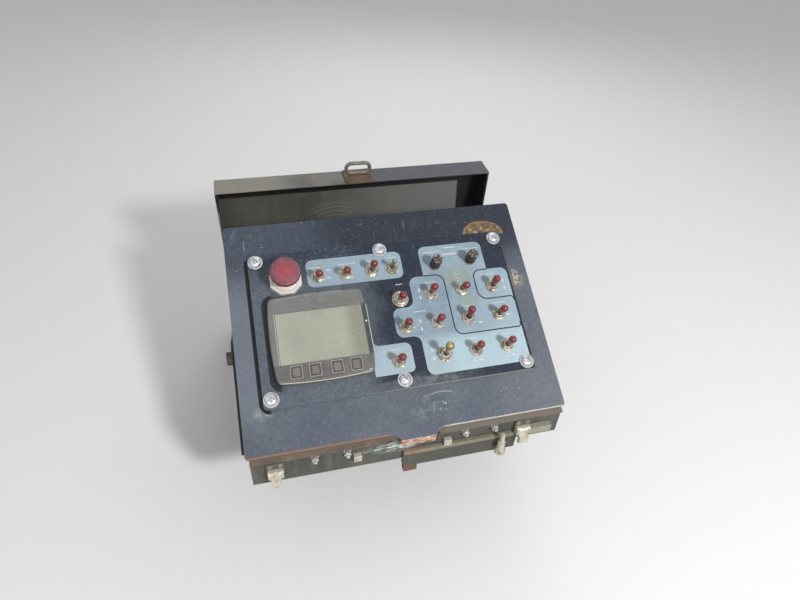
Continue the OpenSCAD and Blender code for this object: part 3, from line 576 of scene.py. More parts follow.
# ---------------------------------------------------------------- operators
def paint_face(face, dark):
    """Slate paint of the sloped face, scraped to orange primer at a corner and along the front."""
    f = Finish("slate_face_paint", 0.42, 0, 0.3)
    mm = f.face_mm()
    x, y, z = f.split(mm)
    f.tones(f.noise(9, 6, 0.65).ramp(0.3, 0.7), face, dark)
    f.lay(f.noise(46, 6, 0.7).ramp(0.42, 0.62) * 0.5, 90, 96, 108)
    # darker towards the back
    drift = y + (f.noise(22) - 0.5) * 40
    f.lay(drift.ramp(172, 244) * 0.92, f.mix(x.ramp(-110, -30), (66, 75, 89), (32, 38, 51)))
    f.lay(x.ramp(60, 180) * drift.ramp(120, 20) * 0.7, 118, 121, 129)
    fine = f.noise(230, 8, 0.8)
    f.lay(fine.ramp(0.5, 0.64) * (0.26 - drift.ramp(172, 244) * 0.16), 140, 146, 156)
    f.lay(fine.ramp(0.48, 0.36) * 0.3, 52, 58, 70)
    specks = f.noise(380, 3, 0.6).ramp(0.655, 0.71)
    where = f.noise(30, 3, 0.6).ramp(0.44, 0.62)
    f.lay(specks * where * 0.75, 186, 192, 200)
    lines = f.most(f.scratches(0.45, 0.68), f.most(f.scratches(-0.8, 0.7, 0.8),
                                                   f.scratches(1.15, 0.7, 0.6)))
    corner = f.most(f.blob(mm, (-166, 258, 0), (24, 18, 20), 0.7),
                    f.blob(mm, (78, 260, 0), (44, 13, 20), 0.7))
    f.lay(lines * (0.22 + corner * 0.6), 170, 180, 190)
    smear = corner * f.noise(120, 7, 0.8).ramp(0.5, 0.64) * (0.45 - x.ramp(-40, 0) * 0.33)
    f.lay(smear, 132, 143, 156)
    # paler left rim, and a chalky smear off the panel's lower left corner
    rim = x.ramp(-150, -166) * y.ramp(225, 170) * y.ramp(20, 60) * 0.45
    f.lay(rim, 132, 139, 150)
    chalk = f.blob(mm, (-160, 46, 0), (9, 6, 20), 0.7) * f.noise(150, 6, 0.8).ramp(0.44, 0.58)
    f.lay(chalk * 0.7, 168, 176, 172)
    # painted shadow along the panel's left edge and round its corners, the shade the raised panel
    # casts
    painted_edge_shadow = (f.outside(mm, (PANEL_X, PANEL_Y), (PANEL_W / 2, PANEL_L / 2), 8).ramp(4.8, 4.1)
            * x.ramp(-147, -154) * y.ramp(231, 228))
    f.lay(painted_edge_shadow, 9, 11, 17)
    # below the panel: a thin rubbed arc, a few white chips under it, a pale smear at its left
    ring = f.length(f.mapped((1, 1, 0), (0, 0, 0), (-39, 1.6, 0), mm))
    arc = (ring.ramp(40.6, 41.3) * ring.ramp(42.6, 41.9) * x.ramp(22, 30) * x.ramp(56, 50)
           * y.ramp(20, 30))
    f.lay(arc * 0.75, 166, 170, 172)
    chips = f.blob(mm, (42, 24.5, 0), (15, 5, 20), 0.5) * f.noise(250, 4, 0.7).ramp(0.56, 0.62)
    f.lay(chips, 212, 216, 216)
    pale = f.most(f.blob(mm, (21, 35, 0), (5, 4, 20), 0.6),
                  f.blob(mm, (18, 20, 0), (15, 8, 20), 0.8))
    f.lay(pale * f.noise(130, 6, 0.8).ramp(0.44, 0.62) * 0.6, 150, 153, 152)
    # scrape at the upper right: a flat base below a bow, rusty at its rim, sandy inside
    wob = (f.noise(70, 5, 0.75) - 0.5) * 8
    bow = f.length(f.mapped((1 / 27, 1 / 18, 0), (0, 0, 0), (-140 / 27, -235 / 18, 0), mm))
    reach = bow + wob * 0.035
    inside = reach.ramp(1.04, 0.98) * (y + x * 0.045).ramp(238.6, 240.2)
    tan = f.mix(f.noise(75, 6, 0.75).ramp(0.38, 0.62), (88, 76, 64), (142, 116, 84))
    tan = f.mix(f.noise(190, 5, 0.75).ramp(0.55, 0.64), tan, (190, 172, 144))
    tan = f.mix(reach.ramp(0.82, 0.97) * f.noise(60, 5).ramp(0.42, 0.56) * 0.8, tan,
                (156, 120, 82))
    tan = f.mix(f.noise(90, 6, 0.75).ramp(0.5, 0.6) * reach.ramp(0.98, 0.7) * 0.85, tan,
                (72, 73, 78))
    f.lay(inside, tan)
    beige = f.blob(mm, (167, 167, 0), (7, 11, 30), 0.6) * f.noise(190, 6, 0.8).ramp(0.46, 0.54)
    f.lay(beige, f.mix(f.noise(300).ramp(0.45, 0.55), (206, 198, 180), (140, 124, 102)))
    # front edge: rust-orange at the left, bare pinkish metal at the right and round the tab
    ragged = f.noise(420, 6, 0.8).ramp(0.36, 0.6)
    bare = f.mix(x.ramp(10, 44), (140, 112, 98), (214, 202, 194))
    off_tab = abs(x - 3.8).ramp(30, 33)
    reach = y - ragged * 0.6 - x.ramp(40, -20)
    straight = reach.ramp(1.3, 0.5) * off_tab
    curve = y.ramp(9, 3.5) * f.edge(1.3, 0.93, 0.995) * (0.45 + ragged * 0.55)
    f.lay(f.most(straight, curve), bare)
    cut = z.ramp(-0.35, -0.8) * y.ramp(6, 4)
    f.lay(cut, f.mix(ragged, f.mix(x.ramp(10, 44), (84, 72, 64), (106, 90, 80)),
                     f.mix(x.ramp(10, 44), (114, 96, 84), (156, 138, 124))))
    tab = z.ramp(-0.4, -1.2) * y.ramp(-5.4, -6.4)
    grain = f.noise(1, 6, 0.75, f.mapped((130, 160, 560), (0, 0.35, 0))).ramp(0.46, 0.58)
    f.lay(tab, f.mix(grain, (154, 84, 56), (222, 206, 190)))
    worn = f.edge(0.7) * f.noise(120, 4, 0.7).ramp(0.4, 0.6) * 0.35
    f.lay(worn, 140, 144, 150)
    f.done(0.34 + fine * 0.28, f.noise(380, 2) + lines * -0.5, 0.22, 0.12, 0.6)
    dress(f, "face_plate")


def paint_tub(wall):
    """Grey-green walls, rusty flange, scuffs beside the tab, dirt washed down the front."""
    t = Finish("grey_green_case_paint", 0.5, 0, 0.3)
    tm = t.face_mm()
    tx, ty, tz = t.split(tm)
    t.tones(t.noise(12, 5, 0.6).ramp(0.3, 0.7), wall, (72, 74, 70))
    streak = t.noise(1, 4, 0.6, t.mapped((95, 95, 9))).ramp(0.42, 0.72)
    t.lay(streak * 0.45, 122, 112, 98)
    grit = t.noise(300, 4, 0.7)
    t.lay(grit.ramp(0.55, 0.8) * 0.4, 146, 138, 122)
    front = ty.ramp(0.6, -0.2)
    top = tz.ramp(-5.6, -4.6)
    # flange: rusty brown on top, brighter towards the face; its cut edge painted dark as shade,
    # with a painted olive highlight at the right
    right = tx.ramp(10, 50)
    rust_top = t.mix(t.noise(60, 5, 0.7).ramp(0.38, 0.62), (94, 86, 76), (120, 106, 92))
    rust_top = t.mix(right * 0.75, rust_top, (114, 108, 98))
    rust_top = t.mix(ty.ramp(-3.2, -1) * tx.ramp(30, -10) * 0.6, rust_top, (118, 96, 82))
    # painted shade and highlight on the flange's cut edge: dark at the left, olive at the right
    edge_shade_and_highlight = t.mix(right, (66, 60, 56), (118, 114, 100))
    flange = t.mix(tz.ramp(-3.7, -3.3), edge_shade_and_highlight, rust_top)
    t.lay(front * top, flange)
    scuff = (t.blob(t.world_mm(), (-27, Y_FRONT - 1, 55), (25, 14, 7.5), 0.45)
             * t.noise(1, 6, 0.8, t.mapped((52, 60, 330), (0, 0.3, 0))).ramp(0.46, 0.53))
    t.lay(scuff, t.mix(t.noise(90).ramp(0.48, 0.58), (226, 232, 226), (140, 178, 160)))
    worn = t.edge(0.9) * t.noise(120, 4, 0.7).ramp(0.35, 0.6) * 0.7
    t.lay(worn, 150, 122, 100)
    t.done(0.4 + grit * 0.25, t.noise(300, 3) + grit * 0.6, 0.3, 0.15, 0.7)
    dress(t, "tub_front", "tub_chin", "tub_bottom", "tub_back", "tub_sides")


class SCREEDBOX_OT_case(bpy.types.Operator):
    """Finishes the sheet-metal case, its mounting plate, rails and the face plate"""
    bl_idname = "screedbox.case"
    bl_label = "Case"

    def execute(self, context):
        p = context.scene.screedbox_paint
        paint_face(tuple(p.face), tuple(p.face_dark))
        paint_tub(tuple(p.wall))
        dress(weathered_paint("mounting_plate_paint", (78, 78, 74), (58, 58, 56), (120, 112, 98),
                              0.4, 0.5, 0.55, tuple(p.rust), 0.7), "mount_plate")
        g = weathered_paint("dusty_angle_paint", (92, 92, 84), (72, 74, 70), (140, 130, 110), 0.4,
                            0.5, 0.6, (166, 150, 122), 0.8)
        gx, _, gz = g.split(g.world_mm())
        # dust and painted highlight: the upper part of the angle's front is painted light tan, for
        # the lit, dusty top of its flange
        ridge = (gz + (g.noise(30) - 0.5) * 5).ramp(40.5, 42.5)
        ridge_dust_and_highlight = g.mix(gx.ramp(24, 4), (144, 138, 122), (158, 132, 112))
        ridge_dust_and_highlight = g.mix(g.noise(150, 5, 0.7).ramp(0.45, 0.65) * 0.5, ridge_dust_and_highlight, (112, 104, 88))
        g.lay(ridge * 0.9, ridge_dust_and_highlight)
        g.colour()
        dress(g, "mount_angle")
        dress(weathered_paint("cream_bar_paint", (190, 184, 166), (152, 148, 132), (210, 204, 186),
                              0.3, 0.3, 0.6, (216, 208, 188), 0.6), "end_bar")
        # painted shade: the side rails are painted near-black, the shade they stand in
        dress(weathered_paint("rail_paint_dark_as_shade", (28, 29, 31), (18, 19, 20), (72, 70, 66), 0.4,
                              0.15, 0.45, (96, 92, 86), 0.5), "side_rails")
        dress(weathered_paint("rusty_lug", (126, 92, 78), (96, 70, 58), (158, 124, 104), 0.3, 0.8,
                              0.7, (176, 140, 118), 0.7), "lock_lug")
        return {"FINISHED"}


class SCREEDBOX_OT_front_hardware(bpy.types.Operator):
    """Finishes the screws, nuts and latches of the front wall"""
    bl_idname = "screedbox.front_hardware"
    bl_label = "Front hardware"

    def execute(self, context):
        cream = zinc("cream_zinc", (212, 206, 190), (148, 134, 112), 0.46, 0.8, 0.3, 0.35)
        white = zinc("white_zinc", (214, 216, 214), (132, 126, 114), 0.34, 0.6, 0.25, 0.7)
        dull = zinc("painted_rivet", (140, 136, 124), (98, 92, 80), 0.5, 0.6, 0.25, 0.3)
        dress(cream, "wall_nuts", "latch_bodies", "latch_catches", "hanger_bolt")
        dress(white, "front_studs", "front_nuts")
        dress(dull, "latch_rivets")
        dress(weathered_paint("latch_plate_paint", (104, 102, 94), (80, 80, 74), (148, 138, 120),
                              0.4, 0.4, 0.55, (160, 148, 126), 0.7), "latch_plates")
        return {"FINISHED"}


def paint_overlay(navy):
    """Navy overlay of the panel, rubbed to slate grey at the left and along the bottom."""
    f = Finish("navy_panel_overlay", 0.36, 0, 0.28, 0.08, 0.3)
    mm = f.face_mm()
    x, y, _ = f.split(mm)
    # the left part and the bottom strip are rubbed to slate grey, the rest stays navy
    drift = x + (f.noise(18, 4, 0.6) - 0.5) * 60
    back = (y + (f.noise(22) - 0.5) * 40).ramp(175, 235)
    grey = f.most(drift.ramp(-2, -44), y.ramp(62, 57) * x.ramp(110, 10) * 0.75)
    f.tones(grey, navy, f.mix(back, (94, 101, 112), (48, 56, 71)))
    fine = f.noise(260, 8, 0.8)
    f.lay(fine.ramp(0.5, 0.62) * (0.12 + grey * 0.2), 132, 139, 150)
    f.lay(fine.ramp(0.48, 0.38) * 0.35, 26, 32, 46)
    specks = f.noise(400, 3, 0.6).ramp(0.66, 0.71)
    where = f.noise(30, 3, 0.6).ramp(0.42, 0.6)
    f.lay(specks * (0.15 + where * 0.6), 190, 196, 204)
    lines = f.most(f.scratches(0.3, 0.7, 0.9), f.scratches(-1, 0.71, 0.7))
    f.lay(lines * 0.32, 158, 164, 176)
    rubbed = f.blob(mm, (45, 57, 3), (34, 7, 20), 0.7) * f.noise(90, 4, 0.7).ramp(0.4, 0.6)
    f.lay(rubbed * 0.42, 150, 148, 142)
    # painted shadow along the display housing's left side, the shade the raised housing casts
    painted_edge_shadow = (f.outside(mm, (DISP_X, DISP_Y), (DISP_W / 2, DISP_L / 2), 9).ramp(5.2, 4.2)
            * x.ramp(-132, -140))
    f.lay(painted_edge_shadow * 0.9, 14, 17, 25)
    # painted highlight: a pale line along the panel's lower edge, for its lit front side
    lower_edge_highlight = (y.ramp(PANEL_Y - PANEL_L / 2 + 1, PANEL_Y - PANEL_L / 2 + 0.6)
                  * x.ramp(-60, 10) * 0.7)
    f.lay(lower_edge_highlight, 160, 152, 140)
    worn = f.edge(0.6) * 0.6
    f.lay(worn, 138, 142, 148)
    f.done(0.26 + fine * 0.3, f.noise(420, 2), 0.15, 0.1, 0.5)
    dress(f, "control_panel")


def print_finish(light):
    """Light blue-grey print with stains and rubbed spots."""
    g = Finish("blue_grey_print", 0.42, 0, 0.35, 0.05, 0.3)
    gm = g.face_mm()
    px, py, _ = g.split(gm)
    g.tones(g.noise(16, 5, 0.65).ramp(0.3, 0.7), light, (132, 151, 168))
    g.lay(px.ramp(30, 18) * py.ramp(180, 186) * 0.8, 158, 178, 192)
    g.lay(px.ramp(92, 130) * py.ramp(190, 176) * 0.7, 170, 192, 204)
    g.lay(py.ramp(112, 94) * 0.85, g.mix(px.ramp(40, 75), (174, 194, 203), (186, 210, 219)))
    stain = g.most(g.blob(gm, (91, 176, 3), (15, 12, 9), 0.6),
                   g.blob(gm, (98, 145, 3), (12, 8, 9), 0.6))
    g.lay(stain * 0.5, 158, 168, 142)
    bare = g.blob(gm, (90, 175.5, 3), (8, 4.5, 9), 0.6) * g.noise(210, 6, 0.8).ramp(0.47, 0.54)
    g.lay(bare, g.mix(g.noise(330).ramp(0.46, 0.56), (222, 218, 202), (150, 128, 96)))
    fine2 = g.noise(320, 5, 0.7)
    g.lay(fine2.ramp(0.5, 0.75) * 0.35, 196, 208, 214)
    g.lay(fine2.ramp(0.44, 0.32) * 0.3, 104, 118, 132)
    dirt = g.noise(46, 5, 0.7).ramp(0.56, 0.76)
    g.lay(dirt * 0.45, 124, 134, 136)
    g.done(0.34 + fine2 * 0.25, g.noise(300, 3), 0.12, 0.08)
    return g


class SCREEDBOX_OT_panel(bpy.types.Operator):
    """Finishes the control panel and lays the printed areas, lines and arrows on it"""
    bl_idname = "screedbox.panel"
    bl_label = "Panel and print"

    def execute(self, context):
        p = context.scene.screedbox_paint
        paint_overlay(tuple(p.panel))
        g = print_finish(tuple(p.prints))
        z0, z1 = PANEL_TOP - SINK, PANEL_TOP + PRINT_T
        pads = joined(*[plate(rounded_path(o), z0, z1) for o in (PRINT_MAIN, PRINT_TOP, PRINT_LOW)])
        face_piece("panel_print", pads, g, "legend_pads", smooth=False)

        k = plastic("dark_print_line", (34, 46, 62), (70, 82, 96), 0.4)
        lines = joined(*[ribbon(rounded_path(o, closed=False), LINE_W, z1 - SINK, z1 + MARK_T)
                         for o in LINES])
        face_piece("panel_print_lines", lines, k, "legend_pads", smooth=False, replaces=False)

        w = plastic("white_print_mark", (226, 232, 234), (190, 200, 204), 0.45, 0, 0.6)
        units = []
        for ax, ay, turn in ARROWS:
            c, s = math.cos(math.radians(turn)), math.sin(math.radians(turn))
            arrow = ARROW @ np.array([[c, s], [-s, c]]) + (ax, ay)
            units.append(plate(arrow, z1 - SINK, z1 + MARK_T))
        for dx, dy, length in DASHES:
            h = length / 2
            units.append(plate(rect(dx - h, dy - 0.8, dx + h, dy + 0.8), z1 - SINK, z1 + MARK_T))
        step, dash = 2.1, 1.5
        for x0, y0, length, height, pad in ROWS:
            top = PANEL_TOP + (PRINT_T if pad else 0.0) + MARK_T
            for dx in np.arange(-length / 2, length / 2 - 0.5, step) + x0:
                units.append(plate(rect(dx, y0 - height / 2, dx + dash, y0 + height / 2),
                                   top - SINK - MARK_T, top))
        face_piece("panel_print_marks", joined(*units), w, "legend_pads", smooth=False,
                   replaces=False)
        return {"FINISHED"}


class SCREEDBOX_OT_panel_screws(bpy.types.Operator):
    """Six domed cross-slot screws with their washers"""
    bl_idname = "screedbox.panel_screws"
    bl_label = "Panel screws"

    def execute(self, context):
        bright = zinc("bright_zinc", (206, 207, 212), (116, 114, 112), 0.24, 0.5, 0.2, 0.95)
        dull = zinc("washer_zinc", (198, 199, 202), (104, 102, 98), 0.32, 0.6, 0.25, 0.9)
        # dome of radius 7 and height 4.2, its cross slot pressed in: the height falls inside
        # |across| < half width of either arm, and the arms fade out towards the rim
        n, rings, rim, rise, slot = 72, 22, 7.0, 4.2, 1.9
        a = np.linspace(0, 2 * np.pi, n, endpoint=False)
        top = []
        for r in np.linspace(0, rim, rings):
            h = rise * math.sqrt(max(0.0, 1 - (r / rim) ** 2.2))
            if r == 0:
                top.append(np.array([[0, 0, h - slot]]))
                continue
            x, y = r * np.cos(a), r * np.sin(a)
            across = np.minimum(np.abs(x), np.abs(y))
            depth = slot * np.clip((1.05 - across) / 0.35, 0, 1) * np.clip((3.6 - r) / 1.0, 0, 1)
            top.append(np.stack([x, y, h - depth], 1))
        foot = np.array([[0.0, 0.0, -0.2]])
        under = foot + np.stack([6.6 * np.cos(a), 6.6 * np.sin(a), np.zeros(n)], 1)
        rows = [foot, under, *top[::-1]]
        head = np.concatenate(rows), [f[::-1] for f in ring_faces(len(rows), n, True, True)]
        shank = turned([(0, -9.0), (2.5, -9.0), (2.5, 0.0), (0, 0.0)], 16)
        # two rows of three; each slot is turned differently
        places = [place(PANEL_X + sx * SCREW_DX, PANEL_Y + sy * SCREW_DY, PANEL_TOP + 1.5,
                        25 + 37 * (sx + 2 * sy)) for sx in (-1, 0, 1) for sy in (-1, 1)]
        face_piece("panel_screw_heads", joined(repeat(head, places), repeat(shank, places)), bright,
                   "panel_screws", 40)
        dress(dull, "panel_washers")
        return {"FINISHED"}


def hex_nut(af, height, bore, chamfer=0.94, n=72):
    """Hexagon nut: rings whose radius is the smaller of the ring's own and the hexagon's
    (half width over the cosine of the angle from the nearest flat's middle), with both corners
    of the top cut by a 30 degree cone."""
    r0 = chamfer * af / 2
    corner = af / 2 / math.cos(math.radians(30))

    def radius(r, z, a):
        flat = (a + np.pi / 6) % (np.pi / 3) - np.pi / 6
        hexr = af / 2 / np.cos(flat)
        rr = np.minimum(r, hexr) if r > r0 else np.full_like(a, r)
        zz = np.full_like(a, z)
        if z >= height:
            zz = z - np.maximum(0, rr - r0) * math.tan(math.radians(30))
        return rr, zz

    prof = [(bore / 2, 0.0), (corner, 0.0), (corner, height)]
    prof += [(r0 + (corner - r0) * t, height) for t in (0.66, 0.33, 0.0)]
    prof += [(bore / 2 + 0.5, height), (bore / 2, height - 0.5), (bore / 2, 0.0)]
    return turned(prof, n, radius)


def toggle_place(c, r, height, turn=0, lean=0):
    """Place of the toggle in a column and a row of the grid, so far above the panel."""
    return place(COL0 + c * COL_DX, ROW0 + r * ROW_DY, PANEL_TOP + height, turn, lean)


def toggle_places(kinds, dz=0.0):
    """Places of the toggles of the given kinds, on the print or on the bare panel."""
    return [toggle_place(c, r, pad * PRINT_T + dz, NUT_TURN * i)
            for i, (c, r, kind, _, pad) in enumerate(TOGGLES) if kind in kinds]


def on_levers(kinds, along):
    """Places on the leaning levers, so far along them from the point they swing about."""
    out = []
    for c, r, kind, tilt, pad in TOGGLES:
        if kind in kinds:
            m = toggle_place(c, r, pad * PRINT_T + PIVOT_H, 0, tilt)
            m[:, 3] += m[:, :3] @ np.array([0, 0, along])
            out.append(m)
    return out


def make_caps(colour, n):
    """Red caps: a slightly waisted sleeve with a rolled foot and a round end."""
    top = LEVER_H - 10
    r = CAP_D / 2
    t = np.linspace(0, np.pi / 2, 9)
    prof = [(2.6, 0.2), (r - 1.15, 0.0), (r - 0.85, 0.35), (r - 0.75, 0.9), (r - 0.75, 1.3),
            (r - 0.5, 3.5), (r - 0.1, top - r - 2.4), (r, top - r)]
    prof += [(r * math.cos(u), top - r + r * math.sin(u)) for u in t[1:-1]] + [(0, top)]
    red = Finish("dark_red_vinyl", 0.3, 0, 0.5, 0.35, 0.18)
    soil = red.noise(170, 5, 0.65).ramp(0.45, 0.75)
    red.tones(soil * 0.6, colour, (78, 28, 25))
    low = red.split(red.face_mm())[2]
    # painted shade: the lower part of each cap darker than its lit top
    red.lay(low.ramp(PANEL_TOP + 21, PANEL_TOP + 13) * 0.6, 86, 26, 22)
    red.lay(red.noise(420, 3, 0.6).ramp(0.62, 0.74) * 0.5, 176, 86, 76)
    red.done(0.24 + soil * 0.25, red.noise(900, 2), 0.1, 0.05)
    caps = repeat(turned(prof, n), on_levers((CAPPED, RINGED), 4.0))
    face_piece("toggle_caps", caps, red, "lever_caps")


class SCREEDBOX_OT_toggles(bpy.types.Operator):
    """Sixteen toggles: threaded bushings, chamfered nuts, levers, red caps and the brass ball"""
    bl_idname = "screedbox.toggles"
    bl_label = "Toggles"

    def execute(self, context):
        s = context.scene.screedbox_toggle
        n = s.facets
        nickel = zinc("dull_nickel", (194, 189, 178), (92, 74, 54), 0.3, 0.85, 0.2, 0.92)
        washer = zinc("washer_nickel", (196, 190, 176), (108, 88, 64), 0.36, 0.8, 0.2, 0.8)
        lever = zinc("lever_nickel", (150, 148, 142), (70, 62, 52), 0.3, 0.55, 0.15, 0.95)
        dress(washer, "switch_washers")
        dress(lever, "switch_levers")

        af, pitch = s.nut / MM, s.pitch / MM
        nuts = repeat(hex_nut(af, NUT_H, BUSH_D, n=2 * n), toggle_places((CAPPED, BARE), WASHER_T))
        tall = repeat(hex_nut(af, NUT_H - 0.2, BUSH_D, n=2 * n), toggle_places((BRASS,), WASHER_T))
        tall2 = repeat(hex_nut(af + 0.6, NUT_H - 0.2, BUSH_D, n=2 * n),
                       toggle_places((BRASS,), WASHER_T + NUT_H))
        ring = [(BUSH_D / 2, 0.0), (8.75, 0.0), (8.75, NUT_H), (8.3, 3.4), (7.2, 4.0), (6.3, 4.0),
                (BUSH_D / 2, 3.6), (BUSH_D / 2, 0.0)]
        big = repeat(turned(ring, 2 * n), toggle_places((RINGED,), WASHER_T))
        face_piece("toggle_nuts", joined(nuts, tall, tall2, big), nickel, "switch_nuts", 28)

        def bushing(height):
            """The radius swings between root and crest once a pitch, up to the rolled lip."""
            z = np.arange(0.2, height - 0.6, pitch / 4)
            r = BUSH_D / 2 - 0.28 + 0.26 * np.cos(2 * np.pi * z / pitch)
            prof = [(BUSH_D / 2 - 0.3, -1.0)] + list(zip(r, z))
            prof += [(BUSH_D / 2 - 0.35, height - 0.5), (BUSH_D / 2 - 0.8, height), (3.6, height),
                     (3.2, height - 0.4), (3.2, height - 3.6), (0, height - 3.6)]
            return turned(prof, n)

        half_w, half_l = BODY_W / 2, BODY_W * 1.7 / 2
        block = plate(rounded_path(rect(-half_w, -half_l, half_w, half_l, 1), 30), BODY_Z0, BODY_Z1)
        straight = [toggle_place(c, r, 0) for c, r, *_ in TOGGLES]
        bodies = joined(repeat(bushing(BUSH_H), toggle_places((CAPPED, BARE, RINGED))),
                        repeat(bushing(TALL_BUSH_H), toggle_places((BRASS,))),
                        repeat(block, straight))
        face_piece("toggle_bushings", bodies, nickel, "switch_bodies", 30)

        make_caps(tuple(s.cap), n)
        brass = zinc("tarnished_brass", (168, 150, 104), (104, 90, 60), 0.3, 0.6, 0.1, 0.9)
        ball = [(1.9, 0.0), (2.4, 0.2), (2.5, 2.0), (2.9, LEVER_H - 15.5)]
        ball += [(5.0 * math.cos(u), LEVER_H - 11 + 5.0 * math.sin(u))
                 for u in np.linspace(-0.85, np.pi / 2, 14)[:-1]] + [(0, LEVER_H - 6)]
        knob = repeat(turned(ball, n), on_levers((BRASS,), 8.0))
        face_piece("brass_lever_ball", knob, brass, "brass_ball")
        return {"FINISHED"}


class SCREEDBOX_OT_knobs(bpy.types.Operator):
    """Two small fluted knobs on their bushings"""
    bl_idname = "screedbox.knobs"
    bl_label = "Knobs"

    def execute(self, context):
        bushing = zinc("knob_bushing_nickel", (190, 184, 170), (120, 106, 86), 0.36, 0.6, 0.2, 0.75)
        dress(bushing, "knob_bushings")
        f = Finish("brown_black_knob", 0.42)
        f.tones(f.noise(160, 4).ramp(0.35, 0.7), (46, 36, 31), (74, 60, 50))
        z = f.split(f.face_mm())[2]
        # dust and painted sheen: the knob's top lighter grey
        dusty = z.ramp(24.2, 25.2) * f.noise(260, 4, 0.7).ramp(0.28, 0.62)
        f.lay(dusty * 0.8, 134, 126, 124)
        chips = z.ramp(23.8, 24.8) * f.noise(420, 3).ramp(0.58, 0.64)
        f.lay(chips, 206, 202, 200)
        f.done(0.36 + dusty * 0.3, f.noise(900, 2), 0.12, 0.05)
        r, h = KNOB_D / 2 - 0.35, KNOB_H - 5.0

        def flutes(rr, z, a):
            """The radius dips 24 times round between the foot and the top chamfer."""
            dip = 0.28 * (0.5 - 0.5 * np.cos(24 * a)) if 1.5 < z < h - 1.4 and rr > r - 0.6 else 0.0
            return np.full_like(a, rr) - dip, np.full_like(a, z)

        prof = [(3.1, 0.0), (r + 0.2, 0.0), (r + 0.3, 0.6), (r + 0.25, 1.4), (r + 0.1, 1.8),
                (r + 0.05, h * 0.5), (r - 0.05, h - 1.6), (r - 0.1, h - 1.2), (r - 0.35, h - 0.5),
                (r - 1.0, h), (r - 1.5, h - 0.05), (r - 1.9, h - 0.35), (r - 3.0, h - 0.35),
                (0, h - 0.3)]
        feet = [place(x0, y0, PANEL_TOP + PRINT_T + 4.6) for x0, y0 in KNOBS]
        face_piece("fluted_knobs", repeat(turned(prof, 144, flutes), feet), f, "knobs", 50)
        return {"FINISHED"}


def button_paint(z0):
    """Faded red, brighter in the middle, deep red at the side, darker in rings near the rim,
    painted shade on its left side; z0 is the height of the head's foot."""
    f = Finish("faded_red_button", 0.5)
    mm = f.face_mm()
    rim = f.noise(140, 5, 0.65)
    f.tones(rim.ramp(0.3, 0.7), (122, 72, 84), (146, 98, 106))
    wide = f.blob(mm, (STOP_X, STOP_Y, STOP_H + PANEL_TOP), (12, 12, 30), 0.5)
    f.lay(wide * 0.7, 158, 74, 88)
    top = f.blob(mm, (STOP_X, STOP_Y - 1, STOP_H + PANEL_TOP), (5.5, 5, 30), 0.9)
    f.lay(top * 0.7, 180, 66, 80)
    # painted shade: the left side of the head darker, away from the light
    f.lay(f.split(mm)[0].ramp(STOP_X - 7, STOP_X - 18) * 0.5, 98, 56, 76)
    far = f.length(f.mapped((1, 1, 0), (0, 0, 0), (-STOP_X, -STOP_Y, 0), mm))
    rings = f.math("SINE", far * 2.6).ramp(0.2, 0.9) * far.ramp(10.5, 13)
    f.lay(rings * 0.45, 104, 56, 68)
    f.lay(f.noise(330, 5, 0.8).ramp(0.52, 0.62) * 0.4, 176, 116, 126)
    side = f.split(mm)[2]
    f.lay(side.ramp(PANEL_TOP + z0 + 7.2, PANEL_TOP + z0 + 5.8), 128, 40, 48)
    f.lay(f.noise(500, 3).ramp(0.6, 0.72) * 0.4, 190, 150, 156)
    f.done(0.42 + rim * 0.2, f.noise(700, 3) + f.noise(90, 3) * 0.6, 0.2, 0.1)
    return f


class SCREEDBOX_OT_stop_button(bpy.types.Operator):
    """Mushroom stop button over its bright eight-sided ring"""
    bl_idname = "screedbox.stop_button"
    bl_label = "Stop button"

    def execute(self, context):
        at = [place(STOP_X, STOP_Y, PANEL_TOP)]
        # head: a flat crown with a shallow groove near the rim, a rounded edge, a hollow foot
        rr = STOP_D / 2
        z0 = STOP_H - 10
        crown = []
        for r in np.linspace(rr - 1.6, 0, 22):
            h = z0 + 10 - 2.0 * (r / rr) ** 2
            h -= 0.35 * math.exp(-((r - (rr - 4.2)) / 0.55) ** 2)
            crown.append((r, h))
        crown[-1] = (0, z0 + 10)
        prof = [(11.2, z0 + 0.3), (rr - 2.2, z0), (rr - 0.9, z0 + 0.5), (rr - 0.2, z0 + 1.6),
                (rr, z0 + 3.0), (rr, z0 + 5.6), (rr - 0.35, z0 + 7.0), (rr - 0.9, z0 + 7.8), *crown]
        f = button_paint(z0)
        face_piece("stop_mushroom", repeat(turned(prof, 96), at), f, "stop_head")

        # ring: eight flats over a wider flange, with a bright chamfer
        half = (STOP_D + 1.5) / 2

        def flats(r, z, a):
            """The smaller of the ring's own radius and the octagon's."""
            octr = half / np.cos((a + np.pi / 8) % (np.pi / 4) - np.pi / 8)
            rr = np.full_like(a, r)
            return np.minimum(rr, octr) if r > half - 1.5 else rr, np.full_like(a, z)

        prof = [(11.0, 0.0), (half + 1.4, 0.0), (half + 1.4, 1.4), (half + 1.4, 6.0),
                (half + 0.4, 6.8), (half - 1.0, 7.0), (half - 2.4, 7.0), (half - 3.0, 6.2),
                (half - 3.4, 9.5), (11.4, 10.5), (11.0, 0.0)]
        bright = plastic("bright_ring_metal", (232, 230, 222), (204, 196, 180), 0.28, 0.3, 0.35, 90)
        ring = repeat(turned(prof, 96, flats), at)
        face_piece("stop_octagon_ring", ring, bright, "stop_ring", 20)
        dress(plastic("black_collar", (34, 34, 36), (84, 82, 78), 0.4), "stop_collar")
        return {"FINISHED"}


